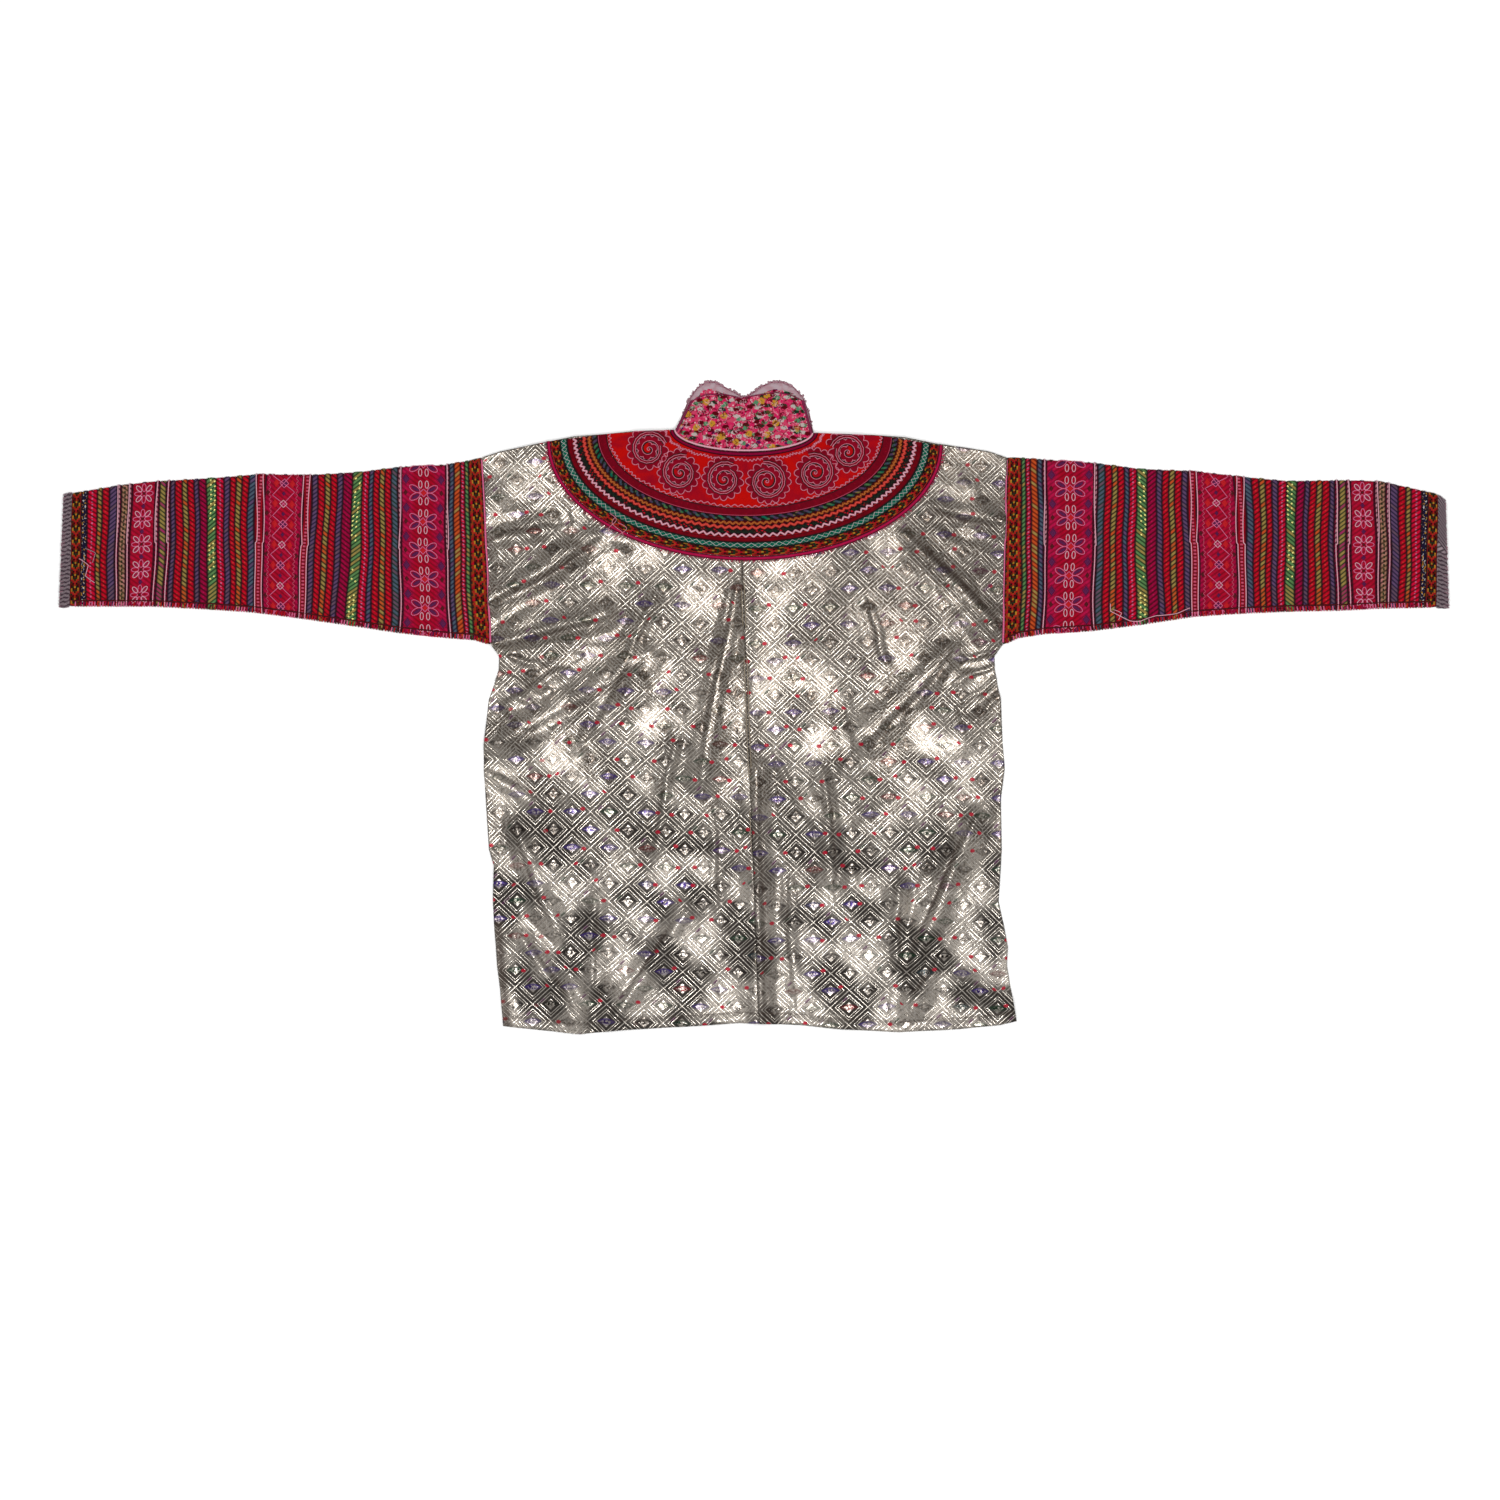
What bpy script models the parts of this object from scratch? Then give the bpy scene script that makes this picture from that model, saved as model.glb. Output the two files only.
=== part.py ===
"""Embroidered jacket laid out flat on its front, seen from the back.

The jacket lies in the XY plane with its collar towards +Y and its underside at z = 0.
The front panels lie on the ground, the back halves lie on them, and the round yoke, its
bindings and its coiled applique strips lie on the back halves. Each sleeve is a flattened
tube of ribbons. Tables and sizes are in millimetres; meshes are made in metres.
"""

import math
from collections import namedtuple

import bmesh
import bpy
import numpy as np

MM = 0.001

# Cloth thicknesses and the gaps between pieces
BROCADE = 1.5
YOKE_CLOTH = 1.7
SLEEVE_CLOTH = 1.7
COLLAR_CLOTH = 1.4
APPLIQUE = 1.0
SEAM = 0.3
LAYER = 0.5

# Long lines of the cut
CENTRE_FRONT_X = -9.0
FRONT_OPENING = 1.0
CENTRE_BACK_TOP = (-12.0, 150.0)
CENTRE_BACK_HEM = (5.0, -310.0)

# Turned hem: the shares of a panel's height where its rows lie, and how much they are raised
HEM_SHARES = [0.0, 0.014, 0.03]
HEM_RISE = 0.7

# Air between front and back at mid body, and the length over which it grows from the hem
SWELL = 2.2
SWELL_AT_HEM = 0.35
SWELL_RUN = 90.0
HEM_Y = -318.0

# The front panels rise over the front yoke, and come down to the ground outside it
YOKE_LIFT = YOKE_CLOTH + LAYER
LIFT_MARGIN = 30.0
LIFT_SLOPE = 35.0

# The folds of the back fade out before they reach the yoke
FOLD_MARGIN = 25.0
FOLD_FADE = 22.0
FOLD_SPREAD = 1.5

# Body: where the side edges run, from the shoulder end to the hem
Side = namedtuple("Side", "y left right")
SIDES = [
    Side(245, -267, 248),
    Side(150, -262, 246),
    Side(62, -258, 244),
    Side(51, -250, 236),
    Side(39, -250, 236),
    Side(22, -255, 239),
    Side(8, -260, 242),
    Side(-36, -265, 244),
    Side(-59, -265, 246),
    Side(-90, -263, 242),
    Side(-139, -260, 243),
    Side(-155, -255, 242),
    Side(-190, -256, 240),
    Side(-213, -255, 245),
    Side(-235, -253, 249),
    Side(-252, -252, 248),
    Side(-276, -249, 252),
    Side(-310, -246, 258),
]

# Edges that are read along X
Edge = namedtuple("Edge", "x y")
HEM = [
    Edge(-246, -312), Edge(-220, -315), Edge(-170, -320), Edge(-131, -316), Edge(-72, -313),
    Edge(-14, -309), Edge(45, -311), Edge(84, -315), Edge(143, -318), Edge(202, -315),
    Edge(241, -311), Edge(259, -307),
]
SHOULDER = [
    Edge(-267, 245), Edge(-249, 251), Edge(-220, 257), Edge(-175, 266), Edge(-146, 268),
    Edge(-117, 271), Edge(-80, 272), Edge(63, 269), Edge(119, 267), Edge(148, 265),
    Edge(177, 259), Edge(207, 255), Edge(231, 251), Edge(248, 245),
]
COLLAR_BACK_TOP = [
    Edge(-62, 301), Edge(-47, 308), Edge(-29, 308), Edge(-12, 304), Edge(2, 307),
    Edge(20, 310), Edge(35, 308), Edge(49, 301),
]
COLLAR_LEFT_TOP = [
    Edge(-76, 273), Edge(-65, 300), Edge(-56, 314), Edge(-47, 320), Edge(-38, 320),
    Edge(-27, 314), Edge(-10, 305),
]
COLLAR_RIGHT_TOP = [
    Edge(-9, 305), Edge(-2, 309), Edge(8, 316), Edge(17, 320), Edge(28, 320),
    Edge(39, 315), Edge(48, 305), Edge(54, 290), Edge(58, 270),
]

# Yoke: half ellipses round the neck, each with its ends on the shoulder lines
Arc = namedtuple("Arc", "centre_x left_y right_y half_width depth")
OUTER_ARC = Arc(-9, 261, 257, 194, 115)
FIELD_ARC = Arc(-9, 268, 266, 135, 71.5)
NECK_ARC = Arc(-10, 272, 269, 68, 20)
BINDING = 4.0

# Ribbons of the yoke, from its outer edge in to the red field
Ribbon = namedtuple("Ribbon", "name width rise")
YOKE_RIBBONS = [
    Ribbon("woven_gold", 8.8, 0.5),
    Ribbon("teal_rickrack", 6.8, 1.0),
    Ribbon("crimson", 5.5, 0.2),
    Ribbon("white_rickrack", 4.2, 1.0),
    Ribbon("dark_stitch", 4.4, 0.3),
    Ribbon("coral", 4.6, 0.7),
    Ribbon("orange", 5.5, 0.3),
    Ribbon("twisted_cord", 5.0, 1.0),
    Ribbon("crimson_wide", 9.5, 0.2),
]

# Coiled applique strips on the red field
Spiral = namedtuple("Spiral", "x y radius start_angle turn")
SPIRALS = [
    Spiral(-103, 253, 17.2, 20, 1),
    Spiral(-72.5, 230, 18.8, 70, 1),
    Spiral(-29.4, 223.4, 19.3, 60, 1),
    Spiral(12.7, 221.5, 21.2, 100, -1),
    Spiral(60, 230, 19.2, 110, -1),
    Spiral(92, 250, 16.8, 160, -1),
]
SPIRAL_TURNS = 2.2
SPIRAL_CORE = 3.2
SPIRAL_WIDTH = 4.0
SPIRAL_TAPER = 0.35
SPIRAL_BEVEL = 0.6

# Sleeve outlines, from the armhole seam to the wrist: upper fold and lower seam
Station = namedtuple("Station", "top_x top_y bottom_x bottom_y")
LEFT_SLEEVE = [
    Station(-267, 245, -258, 62),
    Station(-280, 242, -274, 67),
    Station(-304, 238, -301, 69),
    Station(-347, 236, -348, 74),
    Station(-387, 231, -394, 81),
    Station(-437, 228, -442, 88),
    Station(-486, 229, -489, 94),
    Station(-531, 225, -532, 97),
    Station(-586, 222, -589, 100),
    Station(-623, 218, -625, 100),
    Station(-664, 211, -667, 100),
    Station(-677, 209, -681.5, 99),
]
RIGHT_SLEEVE = [
    Station(248, 245, 244, 62),
    Station(261, 245, 259, 69),
    Station(287, 243, 285, 73),
    Station(333, 240, 332, 76),
    Station(379, 234, 379, 82),
    Station(429, 232, 431, 90),
    Station(473, 227, 477, 93),
    Station(525, 222, 525, 95),
    Station(575, 223, 575, 96),
    Station(614, 222, 614, 98),
    Station(668, 210, 666, 99),
    Station(678, 203, 681.5, 98),
]
SLEEVE_HEIGHT_SHOULDER = 5.6
SLEEVE_HEIGHT_WRIST = 5.0
WRIST_SEAM = 0.976
CUFF_CLOTH = 1.4

# Ribbons of a sleeve, from the armhole to the wrist edging
SLEEVE_RIBBONS = [
    Ribbon("woven_gold", 16, 0.3), Ribbon("green_cord", 4.5, 0.7),
    Ribbon("pink_stitch", 5, 0.2), Ribbon("gold_twist", 7, 0.7),
    Ribbon("blue_twist", 5, 0.3), Ribbon("pink_line", 4, 0.6),
    Ribbon("flower_band", 46, 0.1), Ribbon("pink_line", 4, 0.6),
    Ribbon("teal_twist", 7, 0.4), Ribbon("red", 7, 0.1),
    Ribbon("olive_cord", 6, 0.8), Ribbon("red", 7, 0.1),
    Ribbon("blue_twist", 5, 0.4), Ribbon("pink_stitch", 8, 0.1),
    Ribbon("green_sequin", 11, 0.8), Ribbon("magenta", 10, 0.1),
    Ribbon("violet_twist", 6, 0.5), Ribbon("red", 7, 0.1),
    Ribbon("olive_cord", 6, 0.8), Ribbon("red", 7, 0.1),
    Ribbon("violet_twist", 6, 0.5), Ribbon("ladder", 9, 0.7),
    Ribbon("lattice_band", 38, 0.1), Ribbon("ladder", 10, 0.7),
    Ribbon("blue_twist", 7, 0.2), Ribbon("red", 7, 0.1),
    Ribbon("olive_cord", 6, 0.8), Ribbon("red", 6, 0.1),
    Ribbon("violet_twist", 6, 0.5), Ribbon("pink_stitch", 8, 0.1),
    Ribbon("green_sequin", 10, 0.8), Ribbon("magenta", 8, 0.1),
    Ribbon("violet_twist", 5, 0.5), Ribbon("red", 7, 0.1),
    Ribbon("olive_cord", 6, 0.8), Ribbon("red", 8, 0.1),
    Ribbon("violet_twist", 5, 0.3), Ribbon("pink_line", 5, 0.6),
    Ribbon("gold_green", 7, 0.2), Ribbon("pink_line", 5, 0.6),
    Ribbon("cross_band", 24, 0.1), Ribbon("pink_line", 4, 0.6),
    Ribbon("olive_stitch", 7, 0.2), Ribbon("pink_line", 4, 0.6),
    Ribbon("violet_twist", 8, 0.3), Ribbon("red", 7, 0.1),
    Ribbon("olive_cord", 5, 0.8), Ribbon("pink_stitch", 10, 0.2),
    Ribbon("navy_braid", 6, 0.5), Ribbon("woven_gold", 11, 0.3),
]

# Folds of the back: ridges from one point to another, with a half width at each end
Fold = namedtuple("Fold", "x1 y1 x2 y2 rise half_width_1 half_width_2")
FOLDS = [
    Fold(3, -61, 6, -308, 4.0, 14, 17),
    Fold(-16, 126, -51, -65, 5.0, 14, 18),
    Fold(-96, 108, -164, -29, 3.0, 13, 16),
    Fold(-67, -200, -139, -306, 5.0, 15, 18),
    Fold(-155, -188, -159, -272, 3.5, 14, 16),
    Fold(-237, -112, -194, -214, 4.0, 15, 17),
    Fold(-225, -227, -174, -306, 4.5, 14, 16),
    Fold(-258, 104, -160, 168, 6.0, 16, 18),
    Fold(-255, 164, -215, 176, 4.0, 14, 15),
    Fold(-252, 64, -150, 90, 5.0, 14, 16),
    Fold(-248, -36, -112, 47, 4.0, 16, 20),
    Fold(69, -65, 77, -167, 4.0, 12, 14),
    Fold(156, 158, 235, 80, 6.0, 15, 17),
    Fold(186, 199, 243, 182, 4.0, 14, 16),
    Fold(192, 57, 114, -26, 4.0, 15, 20),
    Fold(218, -107, 156, -247, 6.0, 15, 18),
    Fold(142, -176, 140, -247, 3.5, 13, 14),
    Fold(184, -239, 154, -294, 4.0, 14, 15),
    Fold(208, -268, 249, -292, 3.5, 13, 15),
]

# Mesh counts
BACK_COLUMNS = 16
BACK_ROWS = 27
FRONT_COLUMNS = 10
FRONT_ROWS = 13
YOKE_SPANS = 40
FRONT_YOKE_SPANS = 20
COLLAR_SPANS = 14
COLLAR_ROWS = 3
SPIRAL_SPANS = 36
CAP_POINTS = 3
TOP_POINTS = 4
SETTLING_STEPS = 12

# Colours and finish of the pieces
Finish = namedtuple("Finish", "colour roughness metallic")
FINISHES = {
    "brocade": Finish((0.60, 0.53, 0.43), 0.32, 0.85),
    "yoke_red": Finish((0.58, 0.01, 0.01), 0.85, 0.0),
    "ribbon": Finish((0.35, 0.06, 0.05), 0.80, 0.0),
    "applique": Finish((0.42, 0.01, 0.07), 0.75, 0.0),
    "pink_binding": Finish((0.70, 0.02, 0.12), 0.70, 0.0),
    "dark_binding": Finish((0.25, 0.005, 0.04), 0.75, 0.0),
    "collar_print": Finish((0.75, 0.06, 0.18), 0.80, 0.0),
    "sleeve_ribbon": Finish((0.50, 0.01, 0.08), 0.80, 0.0),
    "edging": Finish((0.42, 0.31, 0.33), 0.90, 0.0),
}


def soft_step(t):
    """Smooth rise from 0 to 1 while t goes from 0 to 1."""
    t = np.clip(t, 0.0, 1.0)
    return t * t * (3.0 - 2.0 * t)


def along(table, key, value, at):
    """One column of a table, read at a place in its key column."""
    rows = sorted(table, key=lambda row: getattr(row, key))
    keys = [getattr(row, key) for row in rows]
    values = [getattr(row, value) for row in rows]
    return np.interp(at, keys, values)


def arc_point(arc, turn, offset=0.0):
    """Point on a yoke arc; turn runs from 0 on the left shoulder to 1 on the right."""
    angle = math.pi * turn
    end_y = arc.left_y + (arc.right_y - arc.left_y) * turn
    x = arc.centre_x - (arc.half_width + offset) * math.cos(angle)
    y = end_y - (arc.depth + offset) * math.sin(angle)
    return np.array([x, y])


def arc_distance(arc, x, y):
    """Rough distance outside an arc, negative within it."""
    end_y = 0.5 * (arc.left_y + arc.right_y)
    across = (x - arc.centre_x) / arc.half_width
    down = np.minimum(y - end_y, 0.0) / arc.depth
    return (np.hypot(across, down) - 1.0) * 0.5 * (arc.half_width + arc.depth)


def top_edge(x):
    """Upper edge of the body: the shoulder line, dipping round the neck."""
    shoulder = along(SHOULDER, "x", "y", x)
    inside = (x - NECK_ARC.centre_x) / (NECK_ARC.half_width + BINDING)
    if abs(inside) >= 1.0:
        return shoulder
    neck = NECK_ARC.right_y - (NECK_ARC.depth + BINDING) * math.sqrt(1.0 - inside * inside)
    return min(shoulder, neck)


def centre_back(y):
    """X of the centre back seam at a height."""
    (top_x, top_y), (hem_x, hem_y) = CENTRE_BACK_TOP, CENTRE_BACK_HEM
    return float(np.interp(y, [hem_y, top_y], [hem_x, top_x]))


def front_lift(x, y):
    """Height of the front panel's underside, raised where the front yoke lies under it."""
    beyond = arc_distance(OUTER_ARC, x, y) - LIFT_MARGIN
    return YOKE_LIFT * (1.0 - soft_step(beyond / LIFT_SLOPE))


def swell(x, y):
    """Air between the layers: full at mid body, none at the edges."""
    left = along(SIDES, "y", "left", y)
    right = along(SIDES, "y", "right", y)
    across = 1.0 - (2.0 * (x - left) / (right - left) - 1.0) ** 2
    up = soft_step((y - HEM_Y) / SWELL_RUN)
    share = SWELL_AT_HEM + (1.0 - SWELL_AT_HEM) * up
    return SWELL * share * np.clip(across, 0.0, 1.0) ** 0.6


def fold_height(x, y):
    """Height that the folds add to the back at a point; they fade out under the yoke."""
    height = 0.0
    for fold in FOLDS:
        run_x = fold.x2 - fold.x1
        run_y = fold.y2 - fold.y1
        length_squared = run_x * run_x + run_y * run_y
        t = ((x - fold.x1) * run_x + (y - fold.y1) * run_y) / length_squared
        t = min(max(t, 0.0), 1.0)
        away = math.hypot(x - fold.x1 - t * run_x, y - fold.y1 - t * run_y)
        half_width = fold.half_width_1 + (fold.half_width_2 - fold.half_width_1) * t
        profile = max(0.0, 1.0 - (away / (FOLD_SPREAD * half_width)) ** 2) ** 2
        height = max(height, fold.rise * profile)
    beyond = arc_distance(OUTER_ARC, x, y) - FOLD_MARGIN
    return height * float(soft_step(beyond / FOLD_FADE))


def back_under(x, y):
    """Height of the back's underside."""
    return front_lift(x, y) + BROCADE + LAYER + swell(x, y) + fold_height(x, y)


def back_top(x, y):
    """Height of the back's upper side."""
    return back_under(x, y) + BROCADE


def make_material(name):
    finish = FINISHES[name]
    material = bpy.data.materials.new(name)
    material.use_nodes = True
    shader = material.node_tree.nodes["Principled BSDF"]
    shader.inputs["Base Color"].default_value = (*finish.colour, 1.0)
    shader.inputs["Roughness"].default_value = finish.roughness
    shader.inputs["Metallic"].default_value = finish.metallic
    return material


def add_object(name, mesh_data, material, collection):
    mesh_data.normal_update()
    bmesh.ops.recalc_face_normals(mesh_data, faces=mesh_data.faces)
    mesh = bpy.data.meshes.new(name)
    mesh_data.to_mesh(mesh)
    mesh_data.free()
    mesh.materials.append(material)
    mesh.shade_smooth()
    piece = bpy.data.objects.new(name, mesh)
    collection.objects.link(piece)
    return piece


def add_sheet(mesh_data, grid, closed=False):
    """Vertices and faces of a grid of points in millimetres; rows may close into rings."""
    rows = [[mesh_data.verts.new(np.asarray(point) * MM) for point in row] for row in grid]
    columns = len(rows[0])
    for upper, lower in zip(rows, rows[1:]):
        for column in range(columns if closed else columns - 1):
            following = (column + 1) % columns
            mesh_data.faces.new((upper[column], upper[following], lower[following], lower[column]))
    return rows


def border(rows):
    """Vertices round the edge of an open sheet, in order."""
    right = [row[-1] for row in rows[1:-1]]
    left = [row[0] for row in rows[1:-1]]
    return rows[0] + right + rows[-1][::-1] + left[::-1]


def wall(name, outer, inner, material, collection):
    """Closed wall of cloth between an outer and an inner sheet with equal borders."""
    mesh_data = bmesh.new()
    outer_edge = border(add_sheet(mesh_data, outer))
    inner_edge = border(add_sheet(mesh_data, inner))
    count = len(outer_edge)
    for here in range(count):
        there = (here + 1) % count
        mesh_data.faces.new((outer_edge[here], inner_edge[here], inner_edge[there], outer_edge[there]))
    return add_object(name, mesh_data, material, collection)


def tube(name, outer, inner, material, collection):
    """Closed wall of cloth between an outer and an inner tube, open at both ends."""
    mesh_data = bmesh.new()
    outer_rows = add_sheet(mesh_data, outer, closed=True)
    inner_rows = add_sheet(mesh_data, inner, closed=True)
    count = len(outer_rows[0])
    for outer_end, inner_end in ((outer_rows[0], inner_rows[0]), (outer_rows[-1], inner_rows[-1])):
        for here in range(count):
            there = (here + 1) % count
            mesh_data.faces.new((outer_end[here], inner_end[here], inner_end[there], outer_end[there]))
    return add_object(name, mesh_data, material, collection)


def body_grid(left_edge, right_edge, columns, rows):
    """XY points of a body panel between two edges that are given as functions of height."""
    shares = HEM_SHARES + list(np.linspace(HEM_SHARES[-1], 1.0, rows)[1:])
    grid = []
    for v in shares:
        row = []
        for u in np.linspace(0.0, 1.0, columns + 1):
            y = SIDES[0].y * v + SIDES[-1].y * (1.0 - v)
            for _ in range(SETTLING_STEPS):
                x = left_edge(y) * (1.0 - u) + right_edge(y) * u
                y = along(HEM, "x", "y", x) * (1.0 - v) + top_edge(x) * v
            row.append((x, y))
        grid.append(row)
    return grid


def hem_rise(row_index):
    """Extra thickness of the turned hem, on all its rows but the last."""
    return HEM_RISE if row_index < len(HEM_SHARES) - 1 else 0.0


def left_side(y):
    return along(SIDES, "y", "left", y)


def right_side(y):
    return along(SIDES, "y", "right", y)


def make_backs(materials, collection):
    def seam_left(y):
        return centre_back(y) - 0.5 * SEAM

    def seam_right(y):
        return centre_back(y) + 0.5 * SEAM

    for name, first, last in (
        ("back_left", left_side, seam_left),
        ("back_right", seam_right, right_side),
    ):
        flat = body_grid(first, last, BACK_COLUMNS, BACK_ROWS)
        inner = [[(x, y, back_under(x, y)) for x, y in row] for row in flat]
        outer = [
            [(x, y, back_top(x, y) + hem_rise(index)) for x, y in row]
            for index, row in enumerate(flat)
        ]
        wall(name, outer, inner, materials["brocade"], collection)


def make_fronts(materials, collection):
    def opening_left(_y):
        return CENTRE_FRONT_X - 0.5 * FRONT_OPENING

    def opening_right(_y):
        return CENTRE_FRONT_X + 0.5 * FRONT_OPENING

    for name, first, last in (
        ("front_left", left_side, opening_left),
        ("front_right", opening_right, right_side),
    ):
        flat = body_grid(first, last, FRONT_COLUMNS, FRONT_ROWS)
        inner = [[(x, y, front_lift(x, y)) for x, y in row] for row in flat]
        outer = [[(x, y, front_lift(x, y) + BROCADE) for x, y in row] for row in flat]
        wall(name, outer, inner, materials["brocade"], collection)


def yoke_strip(name, outer_rail, inner_rail, rises, material, collection):
    """Curved strip on the back between two rails; rises are (share across, rise) pairs."""
    outer, inner = [], []
    for turn in np.linspace(0.0, 1.0, YOKE_SPANS + 1):
        start, end = outer_rail(turn), inner_rail(turn)
        top_row, under_row = [], []
        for share, rise in rises:
            x, y = start + (end - start) * share
            top_row.append((x, y, back_top(x, y) + SEAM + YOKE_CLOTH + rise))
        for share in (0.0, 1.0):
            x, y = start + (end - start) * share
            under_row.append((x, y, back_top(x, y) + SEAM))
        outer.append(top_row)
        inner.append(under_row)
    mesh_data = bmesh.new()
    top = add_sheet(mesh_data, outer)
    under = add_sheet(mesh_data, inner)
    for side in (0, -1):
        for here, there, low_here, low_there in zip(top, top[1:], under, under[1:]):
            corners = (here[side], there[side], low_there[side], low_here[side])
            mesh_data.faces.new(corners)
    for end in (0, -1):
        mesh_data.faces.new(top[end] + under[end][::-1])
    return add_object(name, mesh_data, material, collection)


def ribbon_shares(ribbons):
    """Place of each ribbon's middle, as a share of the whole width, with its rise."""
    total = sum(ribbon.width for ribbon in ribbons)
    place = 0.0
    shares = []
    for ribbon in ribbons:
        shares.append(((place + 0.5 * ribbon.width) / total, ribbon.rise))
        place += ribbon.width
    return shares


def make_yoke(materials, collection):
    ribbons = [(0.0, 0.0)] + ribbon_shares(YOKE_RIBBONS) + [(1.0, 0.0)]
    yoke_strip(
        "yoke_ribbons",
        lambda turn: arc_point(OUTER_ARC, turn, -BINDING - SEAM),
        lambda turn: arc_point(FIELD_ARC, turn),
        ribbons, materials["ribbon"], collection,
    )
    yoke_strip(
        "yoke_field",
        lambda turn: arc_point(FIELD_ARC, turn, -SEAM),
        lambda turn: arc_point(NECK_ARC, turn, BINDING + 2.0 * SEAM),
        [(0.0, 0.0), (1.0 / 3.0, 0.0), (2.0 / 3.0, 0.0), (1.0, 0.0)],
        materials["yoke_red"], collection,
    )
    yoke_strip(
        "yoke_binding",
        lambda turn: arc_point(OUTER_ARC, turn),
        lambda turn: arc_point(OUTER_ARC, turn, -BINDING),
        [(0.0, -0.6), (0.5, 0.4), (1.0, 0.0)],
        materials["pink_binding"], collection,
    )
    yoke_strip(
        "neck_binding",
        lambda turn: arc_point(NECK_ARC, turn, BINDING + SEAM),
        lambda turn: arc_point(NECK_ARC, turn, SEAM),
        [(0.0, 0.0), (0.5, 0.5), (1.0, 0.0)],
        materials["dark_binding"], collection,
    )


def make_spirals(materials, collection):
    """Coiled strips, each a low band that winds in from its rim to its core."""
    for number, spiral in enumerate(SPIRALS, start=1):
        top, under = [], []
        for t in np.linspace(0.0, 1.0, SPIRAL_SPANS + 1):
            angle = math.radians(spiral.start_angle) + spiral.turn * t * SPIRAL_TURNS * 2.0 * math.pi
            rim = spiral.radius - 0.5 * SPIRAL_WIDTH
            middle = rim + (SPIRAL_CORE - rim) * t
            half = 0.5 * SPIRAL_WIDTH * (1.0 - SPIRAL_TAPER * t)
            top_row, under_row = [], []
            for offset, inset in ((-half, SPIRAL_BEVEL), (half, -SPIRAL_BEVEL)):
                low = middle + offset
                high = low + inset
                x, y = spiral.x + low * math.cos(angle), spiral.y + low * math.sin(angle)
                ground = back_top(x, y) + SEAM + YOKE_CLOTH + SEAM
                under_row.append((x, y, ground))
                x, y = spiral.x + high * math.cos(angle), spiral.y + high * math.sin(angle)
                top_row.append((x, y, ground + APPLIQUE))
            top.append(top_row)
            under.append(under_row)
        wall(f"spiral_{number}", top, under, materials["applique"], collection)


def make_front_yokes(materials, collection):
    """Front halves of the yoke: flat on the ground, split down the centre front."""
    for name, first, last in (
        ("yoke_front_left", 0.0, 0.5),
        ("yoke_front_right", 0.5, 1.0),
    ):
        top, under = [], []
        for turn in np.linspace(first, last, FRONT_YOKE_SPANS + 1):
            start = arc_point(OUTER_ARC, turn)
            end = arc_point(NECK_ARC, turn, SEAM)
            if turn == 0.5:
                half_opening = 0.5 * FRONT_OPENING if first else -0.5 * FRONT_OPENING
                start[0] = end[0] = CENTRE_FRONT_X + half_opening
            flat = [start, 0.5 * (start + end), end]
            top.append([(*point, YOKE_CLOTH) for point in flat])
            under.append([(*point, 0.0) for point in flat])
        wall(name, top, under, materials["yoke_red"], collection)


def collar_wall(name, top_edge_table, turns, heights, material, collection):
    """Collar piece from a stretch of the neck arc up to its own top edge.

    The two heights are those of its underside at the neck and at the top edge.
    """
    first, last = turns
    low_z, high_z = heights
    top, under = [], []
    x_start, x_end = top_edge_table[0].x, top_edge_table[-1].x
    for share in np.linspace(0.0, 1.0, COLLAR_SPANS + 1):
        foot = arc_point(NECK_ARC, first + (last - first) * share, -SEAM)
        x = x_start + (x_end - x_start) * share
        head = np.array([x, along(top_edge_table, "x", "y", x)])
        top_row, under_row = [], []
        for level in np.linspace(0.0, 1.0, COLLAR_ROWS + 1):
            x, y = foot + (head - foot) * level
            z = low_z + (high_z - low_z) * float(soft_step(level))
            under_row.append((x, y, z))
            top_row.append((x, y, z + COLLAR_CLOTH))
        top.append(top_row)
        under.append(under_row)
    wall(name, top, under, material, collection)


def make_collar(materials, collection):
    seat = back_under(NECK_ARC.centre_x, NECK_ARC.left_y - NECK_ARC.depth)
    resting = COLLAR_CLOTH + LAYER
    for name, top_edge_table, turns, heights in (
        ("collar_back", COLLAR_BACK_TOP, (0.02, 0.98), (seat, resting)),
        ("collar_front_left", COLLAR_LEFT_TOP, (0.0, 0.5), (0.0, 0.0)),
        ("collar_front_right", COLLAR_RIGHT_TOP, (0.5, 1.0), (0.0, 0.0)),
    ):
        collar_wall(name, top_edge_table, turns, heights, materials["collar_print"], collection)


def sleeve_place(stations, share):
    """Upper fold and lower seam of a sleeve at a share of its length."""
    middles = np.array([0.5 * (row.top_x + row.bottom_x) for row in stations])
    places = (middles - middles[0]) / (middles[-1] - middles[0])
    columns = zip(*stations)
    top_x, top_y, bottom_x, bottom_y = (np.interp(share, places, column) for column in columns)
    return np.array([top_x, top_y]), np.array([bottom_x, bottom_y])


def sleeve_ring(top, bottom, height, inset, rise):
    """Flattened ring between the upper fold and the lower seam, flat underneath."""
    across = bottom - top
    width = float(np.linalg.norm(across))
    across = across / width
    middle_z = 0.5 * height
    radius = middle_z - inset
    reach = 0.5 * width - middle_z
    centre = 0.5 * (top + bottom)
    profile = [(a, radius + rise) for a in np.linspace(-reach, reach, TOP_POINTS + 1)]
    for step in range(1, CAP_POINTS + 1):
        angle = math.pi * (0.5 - step / (CAP_POINTS + 1))
        profile.append((reach + radius * math.cos(angle), radius * math.sin(angle)))
    profile += [(a, -radius) for a in (reach, 0.0, -reach)]
    for step in range(1, CAP_POINTS + 1):
        angle = math.pi * (-0.5 - step / (CAP_POINTS + 1))
        profile.append((-reach + radius * math.cos(angle), radius * math.sin(angle)))
    return [(*(centre + across * a), middle_z + up) for a, up in profile]


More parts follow.
